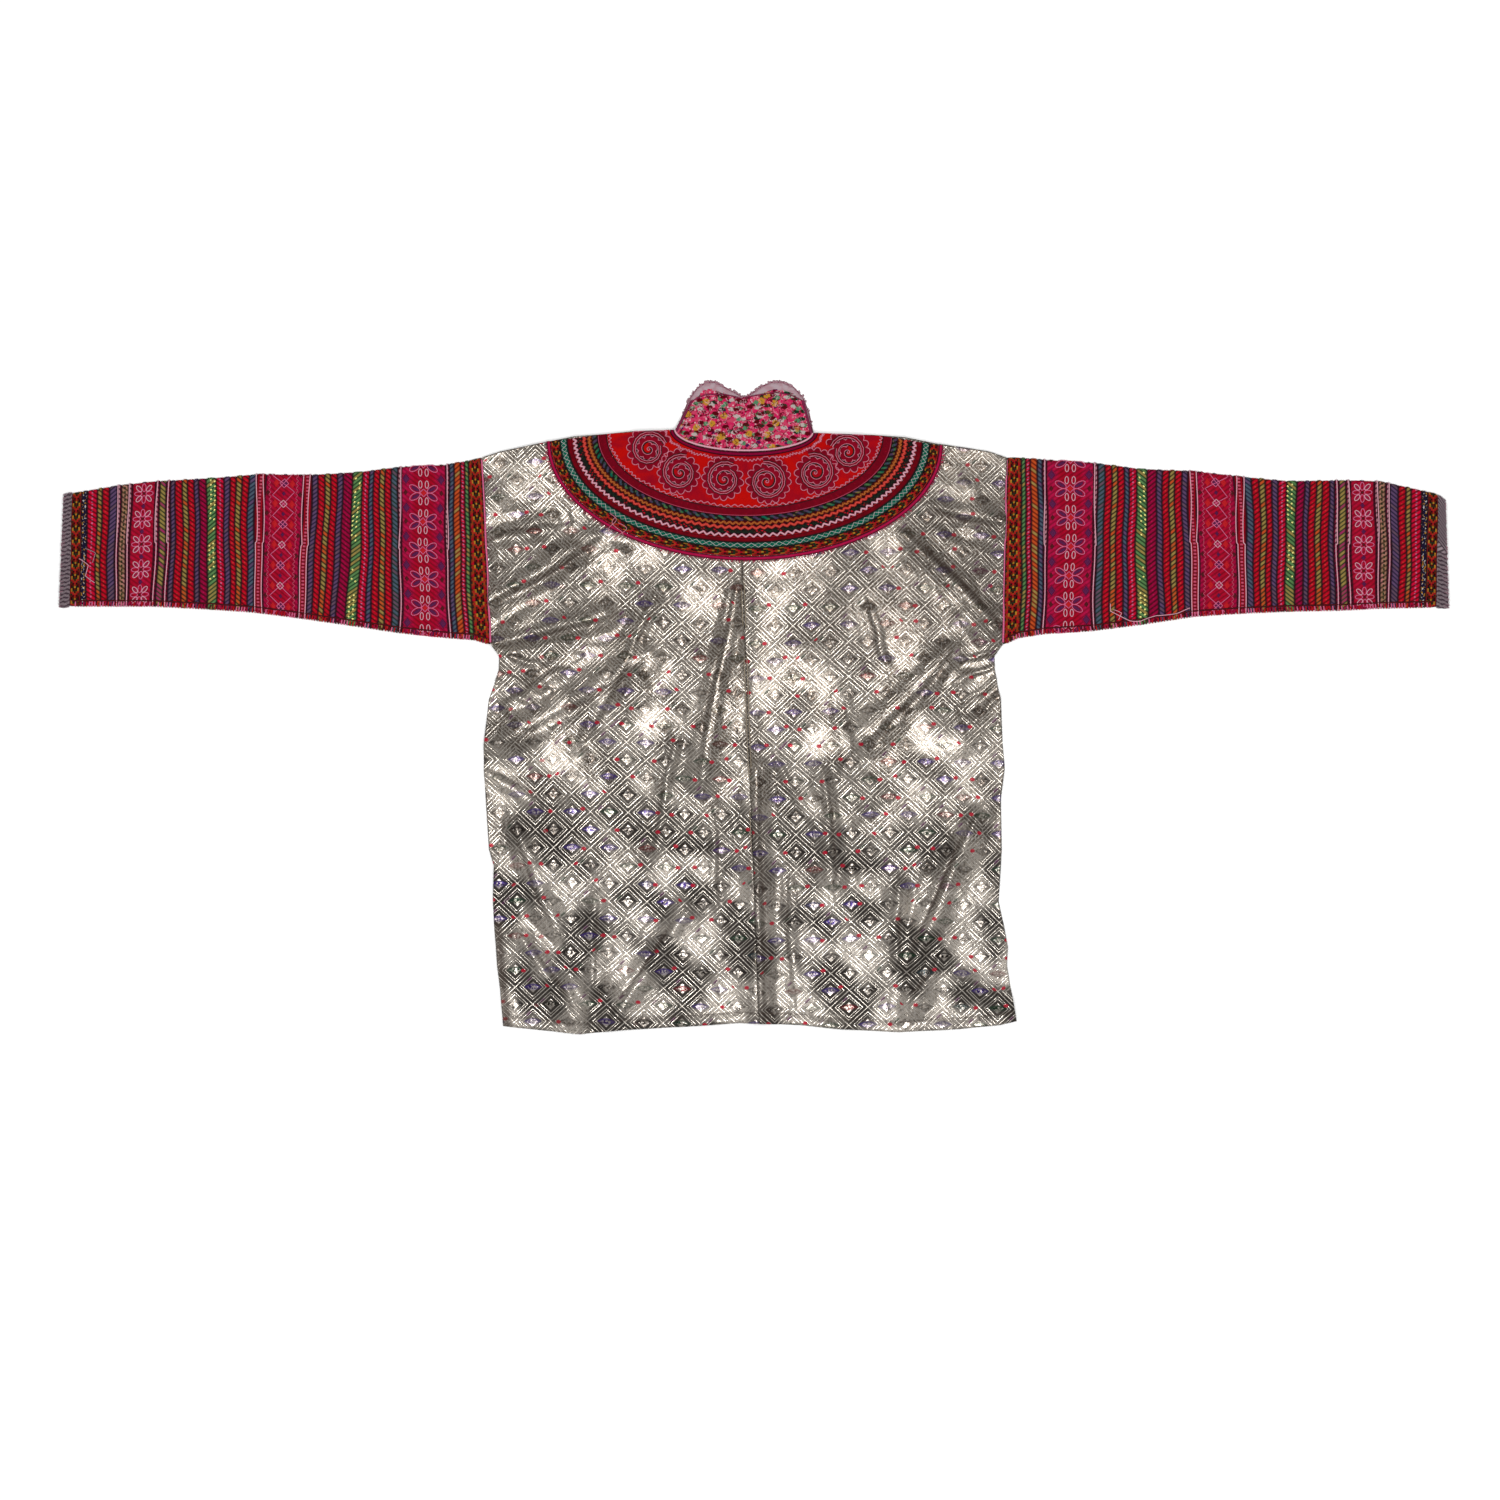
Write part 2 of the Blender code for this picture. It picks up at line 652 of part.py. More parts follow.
def sleeve_height(share):
    return SLEEVE_HEIGHT_SHOULDER + (SLEEVE_HEIGHT_WRIST - SLEEVE_HEIGHT_SHOULDER) * share


def make_sleeve(side, stations, materials, collection):
    outward = -1.0 if side == "left" else 1.0
    gap = np.array([outward * SEAM, 0.0])
    rings = [(0.0, 0.0)]
    rings += [(share * WRIST_SEAM, rise) for share, rise in ribbon_shares(SLEEVE_RIBBONS)]
    rings += [(WRIST_SEAM, 0.0)]
    outer = []
    for share, rise in rings:
        top, bottom = sleeve_place(stations, share)
        outer.append(sleeve_ring(top + gap, bottom + gap, sleeve_height(share), 0.0, rise))
    inner = []
    for share in np.linspace(0.0, WRIST_SEAM, len(stations)):
        top, bottom = sleeve_place(stations, share)
        inner.append(sleeve_ring(top + gap, bottom + gap, sleeve_height(share), SLEEVE_CLOTH, 0.0))
    tube(f"sleeve_{side}", outer, inner, materials["sleeve_ribbon"], collection)

    outer, inner = [], []
    for share in (WRIST_SEAM, 0.5 * (WRIST_SEAM + 1.0), 1.0):
        top, bottom = sleeve_place(stations, share)
        shift = gap * 2.0 if share == WRIST_SEAM else gap
        outer.append(sleeve_ring(top + shift, bottom + shift, sleeve_height(share), 0.0, 0.0))
        inner.append(sleeve_ring(top + shift, bottom + shift, sleeve_height(share), CUFF_CLOTH, 0.0))
    tube(f"cuff_{side}", outer, inner, materials["edging"], collection)


def main():
    for old in list(bpy.data.objects):
        bpy.data.objects.remove(old)
    collection = bpy.data.collections.new("embroidered_jacket")
    bpy.context.scene.collection.children.link(collection)
    materials = {name: make_material(name) for name in FINISHES}
    make_fronts(materials, collection)
    make_backs(materials, collection)
    make_front_yokes(materials, collection)
    make_yoke(materials, collection)
    make_spirals(materials, collection)
    make_collar(materials, collection)
    make_sleeve("left", LEFT_SLEEVE, materials, collection)
    make_sleeve("right", RIGHT_SLEEVE, materials, collection)


main()
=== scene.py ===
"""Dressed model of an embroidered jacket that lies flat with its back up.

Tables and sizes are in millimetres, in the frame of the solids: the collar is towards +Y and
the ground is z = 0. Cloth is built as thin shells on the forms of the solids, and sewing,
cords, sequins and embroidery lie on those shells.
"""

import math
from collections import namedtuple

import bpy
import numpy as np
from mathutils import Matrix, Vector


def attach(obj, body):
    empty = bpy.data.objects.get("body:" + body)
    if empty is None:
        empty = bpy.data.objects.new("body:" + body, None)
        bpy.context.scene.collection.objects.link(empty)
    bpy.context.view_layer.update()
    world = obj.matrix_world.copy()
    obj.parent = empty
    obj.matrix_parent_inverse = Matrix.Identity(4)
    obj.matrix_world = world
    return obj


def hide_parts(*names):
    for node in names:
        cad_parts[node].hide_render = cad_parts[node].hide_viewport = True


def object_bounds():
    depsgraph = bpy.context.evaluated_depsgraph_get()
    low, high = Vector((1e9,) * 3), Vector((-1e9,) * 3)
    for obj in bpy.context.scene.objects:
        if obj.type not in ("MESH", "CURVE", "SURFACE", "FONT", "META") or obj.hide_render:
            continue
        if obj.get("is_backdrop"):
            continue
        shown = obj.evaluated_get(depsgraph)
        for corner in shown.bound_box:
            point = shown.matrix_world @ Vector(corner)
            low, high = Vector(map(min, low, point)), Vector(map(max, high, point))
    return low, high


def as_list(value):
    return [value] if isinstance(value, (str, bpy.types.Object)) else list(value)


MM = 0.001
TURN = 2.0 * math.pi

# Cloth thicknesses and gaps, as in the solids
BROCADE = 1.5
YOKE_CLOTH = 1.7
COLLAR_CLOTH = 1.4
SEAM = 0.3
LAYER = 0.5
BINDING = 4.0

# Camera and lights: places are x, y and z in metres
CAMERA_PLACE = (-0.0039, -0.0414, 3.505)
CAMERA_LENS = 85.71
FLOOR_SIZE = 12.0
FLOOR_Z = -0.4
Lamp = namedtuple("Lamp", "name x y z size power")
LAMPS = [
    Lamp("key_left", -0.80, 0.16, 2.8, 0.74, 28),
    Lamp("key_right", 1.00, 0.04, 2.8, 0.70, 23),
    Lamp("fill_low", 0.10, -0.70, 2.8, 0.74, 32),
    Lamp("fill_high", -0.20, 1.16, 2.8, 0.70, 9),
]
WORLD_LIGHT = 0.32

# Long lines of the cut
CENTRE_FRONT_X = -9.0
FRONT_OPENING = 1.0
CENTRE_BACK_TOP = (-12.0, 150.0)
CENTRE_BACK_HEM = (5.0, -310.0)
CENTRE_BACK_STITCHED_Y = (148.0, -306.0)
ARMHOLE_Y = (243.0, 64.0)

# Air between the layers and the lift over the front yoke
SWELL = 2.2
SWELL_AT_HEM = 0.35
SWELL_RUN = 90.0
HEM_Y = -318.0
YOKE_LIFT = YOKE_CLOTH + LAYER
LIFT_MARGIN = 30.0
LIFT_SLOPE = 35.0

Side = namedtuple("Side", "y left right")
SIDES = [
    Side(245, -267, 248), Side(150, -262, 246), Side(62, -258, 244), Side(51, -250, 236),
    Side(39, -250, 236), Side(22, -255, 239), Side(8, -260, 242), Side(-36, -265, 244),
    Side(-59, -265, 246), Side(-90, -263, 242), Side(-139, -260, 243), Side(-155, -255, 242),
    Side(-190, -256, 240), Side(-213, -255, 245), Side(-235, -253, 249), Side(-252, -252, 248),
    Side(-276, -249, 252), Side(-310, -246, 258),
]
Edge = namedtuple("Edge", "x y")
HEM = [
    Edge(-246, -312), Edge(-220, -315), Edge(-170, -320), Edge(-131, -316), Edge(-72, -313),
    Edge(-14, -309), Edge(45, -311), Edge(84, -315), Edge(143, -318), Edge(202, -315),
    Edge(241, -311), Edge(259, -307),
]
SHOULDER = [
    Edge(-267, 245), Edge(-249, 251), Edge(-220, 257), Edge(-175, 266), Edge(-146, 268),
    Edge(-117, 271), Edge(-80, 272), Edge(63, 269), Edge(119, 267), Edge(148, 265),
    Edge(177, 259), Edge(207, 255), Edge(231, 251), Edge(248, 245),
]
COLLAR_BACK_TOP = [
    Edge(-62, 301), Edge(-47, 308), Edge(-29, 308), Edge(-12, 304), Edge(2, 307),
    Edge(20, 310), Edge(35, 308), Edge(49, 301),
]
COLLAR_LEFT_TOP = [
    Edge(-76, 273), Edge(-65, 300), Edge(-56, 314), Edge(-47, 320), Edge(-38, 320),
    Edge(-27, 314), Edge(-10, 305),
]
COLLAR_RIGHT_TOP = [
    Edge(-9, 305), Edge(-2, 309), Edge(8, 316), Edge(17, 320), Edge(28, 320),
    Edge(39, 315), Edge(48, 305), Edge(54, 290), Edge(58, 270),
]

# Collar: how far its front pieces are faded below the top edge, and the grid of each piece
WORN_REACH = 8.5
COLLAR_COLUMNS = 90
COLLAR_ROWS = 44

# Yoke arcs: half ellipses round the neck
Arc = namedtuple("Arc", "centre_x left_y right_y half_width depth")
OUTER_ARC = Arc(-9, 261, 257, 194, 115)
FIELD_ARC = Arc(-9, 268, 266, 135, 71.5)
NECK_ARC = Arc(-10, 272, 269, 68, 20)

# Folds that the solids have, and the finer creases that lie on them
Fold = namedtuple("Fold", "x1 y1 x2 y2 rise half_width_1 half_width_2")
FOLD_MARGIN = 25.0
FOLD_FADE = 22.0
FOLD_SPREAD = 1.5
FOLDS = [
    Fold(3, -61, 6, -308, 4.0, 14, 17), Fold(-16, 126, -51, -65, 5.0, 14, 18),
    Fold(-96, 108, -164, -29, 3.0, 13, 16), Fold(-67, -200, -139, -306, 5.0, 15, 18),
    Fold(-155, -188, -159, -272, 3.5, 14, 16), Fold(-237, -112, -194, -214, 4.0, 15, 17),
    Fold(-225, -227, -174, -306, 4.5, 14, 16), Fold(-258, 104, -160, 168, 6.0, 16, 18),
    Fold(-255, 164, -215, 176, 4.0, 14, 15), Fold(-252, 64, -150, 90, 5.0, 14, 16),
    Fold(-248, -36, -112, 47, 4.0, 16, 20), Fold(69, -65, 77, -167, 4.0, 12, 14),
    Fold(156, 158, 235, 80, 6.0, 15, 17), Fold(186, 199, 243, 182, 4.0, 14, 16),
    Fold(192, 57, 114, -26, 4.0, 15, 20), Fold(218, -107, 156, -247, 6.0, 15, 18),
    Fold(142, -176, 140, -247, 3.5, 13, 14), Fold(184, -239, 154, -294, 4.0, 14, 15),
    Fold(208, -268, 249, -292, 3.5, 13, 15),
]
CREASES = [
    Fold(3, -61, 6, -310, 5.0, 9, 14), Fold(-16, 126, -51, -65, 5.0, 8, 14),
    Fold(-96, 108, -164, -29, 4.0, 6, 12), Fold(-76, -31, -97, -139, 4.0, 8, 10),
    Fold(-40, -109, -36, -193, 3.5, 8, 8), Fold(-67, -200, -139, -306, 6.0, 10, 14),
    Fold(-155, -188, -159, -272, 4.0, 8, 10), Fold(-237, -112, -194, -214, 5.0, 9, 12),
    Fold(-225, -227, -174, -308, 5.0, 8, 12), Fold(-260, 104, -145, 174, 7.0, 12, 16),
    Fold(-255, 164, -202, 176, 5.0, 10, 14), Fold(-255, 62, -145, 90, 6.0, 8, 12),
    Fold(-246, 2, -190, 36, 5.0, 10, 14), Fold(-249, -36, -112, 47, 5.0, 14, 20),
    Fold(-261, -63, -212, -96, 5.0, 10, 14), Fold(-178, 212, -177, 179, 3.0, 6, 6),
    Fold(69, -65, 77, -167, 4.5, 5, 12), Fold(91, 8, 100, -55, 3.0, 8, 8),
    Fold(24, -54, 60, -112, 3.5, 7, 9), Fold(114, 94, 128, 45, 4.0, 8, 10),
    Fold(146, 172, 237, 80, 7.0, 10, 14), Fold(163, 201, 245, 182, 5.0, 10, 14),
    Fold(192, 57, 114, -26, 5.0, 12, 20), Fold(218, -107, 156, -247, 7.0, 9, 16),
    Fold(142, -176, 140, -247, 4.0, 7, 9), Fold(184, -239, 154, -294, 5.0, 8, 10),
    Fold(208, -268, 251, -294, 4.0, 9, 12), Fold(35, -169, 40, -272, 4.0, 8, 11),
    Fold(-252, 52, -214, 44, 4.0, 4, 6), Fold(-250, 40, -208, 22, 4.0, 4, 7),
    Fold(-254, 28, -216, 4, 4.0, 4, 6), Fold(-258, 12, -230, -14, 3.5, 4, 6),
    Fold(238, 53, 204, 48, 4.0, 4, 6), Fold(236, 42, 198, 26, 4.0, 4, 7),
    Fold(238, 28, 206, 6, 4.0, 4, 6), Fold(241, 12, 216, -12, 3.5, 4, 6),
]
CREASE_SHARE = 0.6
STEEP_SIDE = 0.42
TROUGH_SHARE = 0.4

# Brocade pattern: size of its diamonds, and where one lies on each half of the back
DIAMOND_WIDTH = 36.3
DIAMOND_HEIGHT = 34.3
DIAMOND_LEFT = (-51.9, -86.6)
DIAMOND_RIGHT = (113.1, -106.6)
PUFF = 0.15
DARK_RINGS = ((0.215, 0.082), (0.322, 0.034), (0.432, 0.078))
LIGHT_RINGS = ((0.272, 0.034), (0.376, 0.032), (0.5, 0.03))

# Points in the grids: columns and rows of the body, spans round the yoke, steps of its cords
BACK_GRID = (154, 320)
FRONT_GRID = (84, 184)
YOKE_SPANS = 260
CORD_STEPS = 1050
CORD_SPAN = (0.002, 0.998)
YOKE_LENGTH = 430.0

# Painted shade over the upper right of the back: how much, and where it begins along x and y
UPPER_RIGHT_SHADE_SHARE = 0.42
UPPER_RIGHT_SHADE_X = (15.0, 70.0)
UPPER_RIGHT_SHADE_Y = (5.0, 90.0)

# Ribbons of the yoke, from its outer edge in to the red field
Ribbon = namedtuple("Ribbon", "name width rise")
YOKE_RIBBONS = [
    Ribbon("woven_gold", 8.8, 0.5), Ribbon("teal_rickrack", 6.8, 1.0),
    Ribbon("crimson", 5.5, 0.2), Ribbon("white_rickrack", 4.2, 1.0),
    Ribbon("dark_stitch", 4.4, 0.3), Ribbon("coral", 4.6, 0.7), Ribbon("orange", 5.5, 0.3),
    Ribbon("twisted_cord", 5.0, 1.0), Ribbon("crimson_wide", 9.5, 0.2),
]

# Coiled applique strips on the red field
Spiral = namedtuple("Spiral", "x y radius start_angle turn")
SPIRALS = [
    Spiral(-103, 253, 17.2, 20, 1), Spiral(-72.5, 230, 18.8, 70, 1),
    Spiral(-29.4, 223.4, 19.3, 60, 1), Spiral(12.7, 221.5, 21.2, 100, -1),
    Spiral(60, 230, 19.2, 110, -1), Spiral(92, 250, 16.8, 160, -1),
]
SPIRAL_TURNS = 2.2
SPIRAL_CORE = 3.2
SPIRAL_WIDTH = 4.0
SPIRAL_TAPER = 0.35
SCALLOP = 6.0
SCALLOP_REACH = 4.2
SCALLOP_GROWTH = 2.0
SCALLOP_INNER = 2.6
SPIRAL_GROWTH = (1.15, 1.05, 1.0, 1.0, 1.08, 1.17)

# Sequins and overcast stitches: spacing round a sleeve, and count along its lower edge
SEQUIN_STEP = 2.3
SEQUIN_SIZE = 0.9
OVERCAST_STITCHES = 150

# Sleeve outlines, from the armhole seam to the wrist: upper fold and lower seam
Station = namedtuple("Station", "top_x top_y bottom_x bottom_y")
LEFT_SLEEVE = [
    Station(-267, 245, -258, 62), Station(-280, 242, -274, 67), Station(-304, 238, -301, 69),
    Station(-347, 236, -348, 74), Station(-387, 231, -394, 81), Station(-437, 228, -442, 88),
    Station(-486, 229, -489, 94), Station(-531, 225, -532, 97), Station(-586, 222, -589, 100),
    Station(-623, 218, -625, 100), Station(-664, 211, -667, 100), Station(-677, 209, -681.5, 99),
]
RIGHT_SLEEVE = [
    Station(248, 245, 244, 62), Station(261, 245, 259, 69), Station(287, 243, 285, 73),
    Station(333, 240, 332, 76), Station(379, 234, 379, 82), Station(429, 232, 431, 90),
    Station(473, 227, 477, 93), Station(525, 222, 525, 95), Station(575, 223, 575, 96),
    Station(614, 222, 614, 98), Station(668, 210, 666, 99), Station(678, 203, 681.5, 98),
]
SLEEVE_LENGTH = 416.0
SLEEVE_HEIGHT_SHOULDER = 5.6
SLEEVE_HEIGHT_WRIST = 5.0
WRIST_SEAM = 0.976
SLEEVE_RIBBONS = [
    Ribbon("yoke_woven", 16, 0.3), Ribbon("green_cord", 4.5, 0.7),
    Ribbon("pink_stitch", 5, 0.2), Ribbon("gold_twist", 7, 0.7),
    Ribbon("blue_twist", 5, 0.3), Ribbon("pink_line", 4, 0.6),
    Ribbon("flower_band", 46, 0.1), Ribbon("pink_line", 4, 0.6),
    Ribbon("teal_twist", 7, 0.4), Ribbon("red", 7, 0.1),
    Ribbon("olive_cord", 6, 0.8), Ribbon("red", 7, 0.1),
    Ribbon("blue_twist", 5, 0.4), Ribbon("pink_stitch", 8, 0.1),
    Ribbon("green_sequin", 11, 0.8), Ribbon("magenta", 10, 0.1),
    Ribbon("violet_twist", 6, 0.5), Ribbon("red", 7, 0.1),
    Ribbon("olive_cord", 6, 0.8), Ribbon("red", 7, 0.1),
    Ribbon("violet_twist", 6, 0.5), Ribbon("ladder", 9, 0.7),
    Ribbon("lattice_band", 38, 0.1), Ribbon("ladder", 10, 0.7),
    Ribbon("blue_twist", 7, 0.2), Ribbon("red", 7, 0.1),
    Ribbon("olive_cord", 6, 0.8), Ribbon("red", 6, 0.1),
    Ribbon("violet_twist", 6, 0.5), Ribbon("pink_stitch", 8, 0.1),
    Ribbon("green_sequin", 10, 0.8), Ribbon("magenta", 8, 0.1),
    Ribbon("violet_twist", 5, 0.5), Ribbon("red", 7, 0.1),
    Ribbon("olive_cord", 6, 0.8), Ribbon("red", 8, 0.1),
    Ribbon("violet_twist", 5, 0.3), Ribbon("pink_line", 5, 0.6),
    Ribbon("gold_green", 7, 0.2), Ribbon("pink_line", 5, 0.6),
    Ribbon("cross_band", 24, 0.1), Ribbon("pink_line", 4, 0.6),
    Ribbon("olive_stitch", 7, 0.2), Ribbon("pink_line", 4, 0.6),
    Ribbon("violet_twist", 8, 0.3), Ribbon("red", 7, 0.1),
    Ribbon("olive_cord", 5, 0.8), Ribbon("pink_stitch", 10, 0.2),
    Ribbon("navy_braid", 6, 0.5), Ribbon("yoke_woven", 11, 0.3),
]

# Tones as they show, in display values of 0 to 255, and the share that the cloth reflects
DEPTH = 0.58
GAP_GAIN = 1.55

# Linear colours of the metallic brocade, from its deepest fold to its brightest thread; fold is the
# colour that painted shade darkens towards, upper is painted shade over the upper back and lower is
# painted light over the lower back
BROCADE_TONES = {
    "fold": (0.034, 0.022, 0.016, 1.0), "speck": (0.10, 0.076, 0.058, 1.0),
    "shade": (0.19, 0.15, 0.118, 1.0), "upper": (0.24, 0.19, 0.148, 1.0),
    "body": (0.74, 0.655, 0.56, 1.0), "line": (0.82, 0.76, 0.67, 1.0),
    "spark": (0.92, 0.86, 0.79, 1.0), "lower": (0.95, 0.86, 0.76, 1.0),
}
TONES = {
    "crimson": (206, 16, 42), "deep_crimson": (100, 8, 24), "red": (204, 18, 28),
    "magenta": (190, 12, 78), "hot_pink": (228, 36, 98), "pink": (246, 128, 172),
    "pale_pink": (252, 196, 208), "white": (246, 240, 236), "coral": (238, 84, 70),
    "orange": (206, 112, 48), "rust": (176, 72, 34), "woven_brown": (112, 30, 18),
    "gold": (214, 150, 50), "yellow": (236, 224, 120), "olive": (140, 120, 66),
    "green": (84, 122, 74), "dark_green": (26, 56, 38), "teal": (26, 112, 90),
    "deep_teal": (20, 120, 100), "violet": (88, 66, 96), "purple": (92, 20, 84),
    "blue": (70, 84, 98), "navy": (38, 34, 62), "black": (26, 20, 22), "edging": (176, 156, 162),
    "taupe": (198, 182, 158), "brown": (70, 52, 40), "eye_brown": (28, 18, 14),
    "couching": (226, 92, 122), "line_pink": (250, 168, 192), "petal": (248, 154, 176),
    "plum": (142, 40, 84), "faded_pink": (226, 78, 112), "faded_green": (92, 150, 110),
    "pale_grey": (206, 192, 186), "worn_pink": (198, 158, 168), "dull_magenta": (160, 14, 66),
    "mauve": (206, 182, 190), "field_red": (208, 18, 12), "stone": (166, 148, 154),
    "dusk": (92, 70, 84), "strip_crimson": (150, 12, 40), "indigo": (60, 38, 112),
    "tuft_red": (196, 14, 52),
}

# Ribbon looks: three tones, a pattern, and the pattern's length along the ribbon
RibbonLook = namedtuple("RibbonLook", "name first second third pattern pitch")
RIBBON_LOOKS = [
    RibbonLook("woven_gold", "woven_brown", "gold", "dark_green", "woven", 9.0),
    RibbonLook("yoke_woven", "woven_brown", "black", "gold", "motif", 1.7),
    RibbonLook("green_cord", "green", "dark_green", "olive", "twist", 4.4),
    RibbonLook("pink_stitch", "crimson", "pink", "magenta", "stitch", 3.0),
    RibbonLook("gold_twist", "rust", "woven_brown", "olive", "twist", -4.4),
    RibbonLook("blue_twist", "blue", "navy", "violet", "twist", -4.4),
    RibbonLook("pink_line", "dull_magenta", "pale_pink", "pink", "line", 3.0),
    RibbonLook("flower_band", "crimson", "magenta", "hot_pink", "band", 7.0),
    RibbonLook("teal_twist", "blue", "dark_green", "dusk", "twist", 4.4),
    RibbonLook("red", "crimson", "coral", "deep_crimson", "dots", 3.8),
    RibbonLook("olive_cord", "olive", "black", "rust", "twist", 4.4),
    RibbonLook("green_sequin", "green", "dark_green", "olive", "twist", -4.2),
    RibbonLook("magenta", "dull_magenta", "hot_pink", "deep_crimson", "dots", 4.0),
    RibbonLook("violet_twist", "violet", "navy", "dusk", "twist", -4.2),
    RibbonLook("ladder", "deep_crimson", "couching", "line_pink", "ladder", 3.4),
    RibbonLook("lattice_band", "crimson", "hot_pink", "magenta", "band", 6.0),
    RibbonLook("gold_green", "olive", "dark_green", "plum", "twist", 4.2),
    RibbonLook("cross_band", "crimson", "hot_pink", "magenta", "band", 6.0),
    RibbonLook("olive_stitch", "olive", "dark_green", "pink", "stitch", 4.0),
    RibbonLook("navy_braid", "navy", "white", "gold", "fleck", 3.0),
    RibbonLook("teal_rickrack", "teal", "deep_teal", "deep_teal", "plain", 4.0),
    RibbonLook("crimson_ribbon", "deep_crimson", "crimson", "black", "plain", 4.0),
    RibbonLook("dark_stitch", "dark_green", "brown", "crimson", "twist", 5.0),
    RibbonLook("crimson_pink", "strip_crimson", "deep_crimson", "crimson", "plain", 4.0),
    RibbonLook("pink_binding", "hot_pink", "strip_crimson", "crimson", "plain", 3.0),
    RibbonLook("dark_binding", "magenta", "deep_crimson", "black", "plain", 3.0),
    RibbonLook("edging", "stone", "pale_grey", "dusk", "stitch", 2.8),
]
PrintMark = namedtuple("PrintMark", "tint size reach share stretch shift")
PRINT_MARKS = [
    PrintMark("pale_pink", 5.2, 0.16, 0.7, 1.0, 1.3),
    PrintMark("purple", 9.0, 0.2, 0.4, 1.3, 2.9),
    PrintMark("dark_green", 7.0, 0.3, 0.55, 1.9, 5.3),
    PrintMark("faded_green", 8.2, 0.26, 0.45, 1.4, 7.7),
    PrintMark("pale_grey", 7.8, 0.26, 0.45, 1.5, 9.1),
    PrintMark("deep_crimson", 7.0, 0.3, 0.4, 1.6, 11.9),
    PrintMark("gold", 13.0, 0.26, 0.55, 1.0, 13.3),
    PrintMark("olive", 13.0, 0.05, 0.55, 1.0, 13.3),
]
YOKE_LOOKS = {
    "woven_gold": "yoke_woven", "teal_rickrack": "teal_rickrack", "crimson": "crimson_ribbon",
    "white_rickrack": "crimson_ribbon", "dark_stitch": "dark_stitch", "coral": "crimson_ribbon",
    "orange": "crimson_ribbon", "twisted_cord": "crimson_ribbon", "crimson_wide": "crimson_pink",
}


def tone(name):
    """Linear colour of a named tone, darkened to allow for the bright stage."""
    return tuple(DEPTH * (value / 255.0) ** 2.2 for value in TONES[name]) + (1.0,)


def bright(name):
    """Tone of a thread that shows between dark gaps."""
    return tuple(min(1.0, GAP_GAIN * value) for value in tone(name)[:3]) + (1.0,)


def soft_step(t):
    """Smooth rise from 0 to 1 while t goes from 0 to 1."""
    t = np.clip(t, 0.0, 1.0)
    return t * t * (3.0 - 2.0 * t)


def along(table, key, value, at):
    """One column of a table, read at places in its key column."""
    rows = sorted(table, key=lambda row: getattr(row, key))
    keys = [getattr(row, key) for row in rows]
    values = [getattr(row, value) for row in rows]
    return np.interp(at, keys, values)


def arc_point(arc, turn, offset=0.0):
    """Points on a yoke arc; turn runs from 0 on the left shoulder to 1 on the right."""
    angle = math.pi * np.asarray(turn)
    end_y = arc.left_y + (arc.right_y - arc.left_y) * turn
    x = arc.centre_x - (arc.half_width + offset) * np.cos(angle)
    y = end_y - (arc.depth + offset) * np.sin(angle)
    return x, y


def arc_distance(arc, x, y):
    """Rough distance outside an arc, negative within it."""
    end_y = 0.5 * (arc.left_y + arc.right_y)
    across = (x - arc.centre_x) / arc.half_width
    down = np.minimum(y - end_y, 0.0) / arc.depth
    return (np.hypot(across, down) - 1.0) * 0.5 * (arc.half_width + arc.depth)


def top_edge(x):
    """Upper edge of the body: the shoulder line, dipping round the neck."""
    shoulder = along(SHOULDER, "x", "y", x)
    inside = (x - NECK_ARC.centre_x) / (NECK_ARC.half_width + BINDING)
    dip = np.sqrt(np.clip(1.0 - inside * inside, 0.0, 1.0))
    neck = NECK_ARC.right_y - (NECK_ARC.depth + BINDING) * dip
    return np.where(np.abs(inside) < 1.0, np.minimum(shoulder, neck), shoulder)


def left_side(y):
    """X of the body's left edge at a height."""
    return along(SIDES, "y", "left", y)


def right_side(y):
    """X of the body's right edge at a height."""
    return along(SIDES, "y", "right", y)


def opening_edge(side):
    """X of one edge of the front opening: side is -1 on the left and 1 on the right."""
    return CENTRE_FRONT_X + 0.5 * side * FRONT_OPENING


def centre_back(y):
    """X of the centre back seam at a height."""
    (top_x, top_y), (hem_x, hem_y) = CENTRE_BACK_TOP, CENTRE_BACK_HEM
    return np.interp(y, [hem_y, top_y], [hem_x, top_x])


def front_lift(x, y):
    """Height of the front panel's underside, raised where the front yoke lies under it."""
    beyond = arc_distance(OUTER_ARC, x, y) - LIFT_MARGIN
    return YOKE_LIFT * (1.0 - soft_step(beyond / LIFT_SLOPE))


def swell(x, y):
    """Air between the layers: full at mid body, none at the edges."""
    left, right = left_side(y), right_side(y)
    across = 1.0 - (2.0 * (x - left) / (right - left) - 1.0) ** 2
    up = soft_step((y - HEM_Y) / SWELL_RUN)
    share = SWELL_AT_HEM + (1.0 - SWELL_AT_HEM) * up
    return SWELL * share * np.clip(across, 0.0, 1.0) ** 0.6


def from_fold(fold, x, y):
    """Distance from a fold's line, signed by side, its half width there, and the place along."""
    run_x, run_y = fold.x2 - fold.x1, fold.y2 - fold.y1
    length = math.hypot(run_x, run_y)
    t = np.clip(((x - fold.x1) * run_x + (y - fold.y1) * run_y) / length ** 2, 0.0, 1.0)
    off_x, off_y = x - fold.x1 - t * run_x, y - fold.y1 - t * run_y
    side = np.sign(off_x * run_y - off_y * run_x)
    half_width = fold.half_width_1 + (fold.half_width_2 - fold.half_width_1) * t
    return np.hypot(off_x, off_y) * side, half_width, t


def hump(t):
    """Smooth hump, 1 at t = 0 and 0 beyond t = 1 on either side."""
    return np.clip(1.0 - t * t, 0.0, 1.0) ** 2


def fold_fade(x, y):
    """0 under the yoke and 1 some way outside it."""
    return soft_step((arc_distance(OUTER_ARC, x, y) - FOLD_MARGIN) / FOLD_FADE)


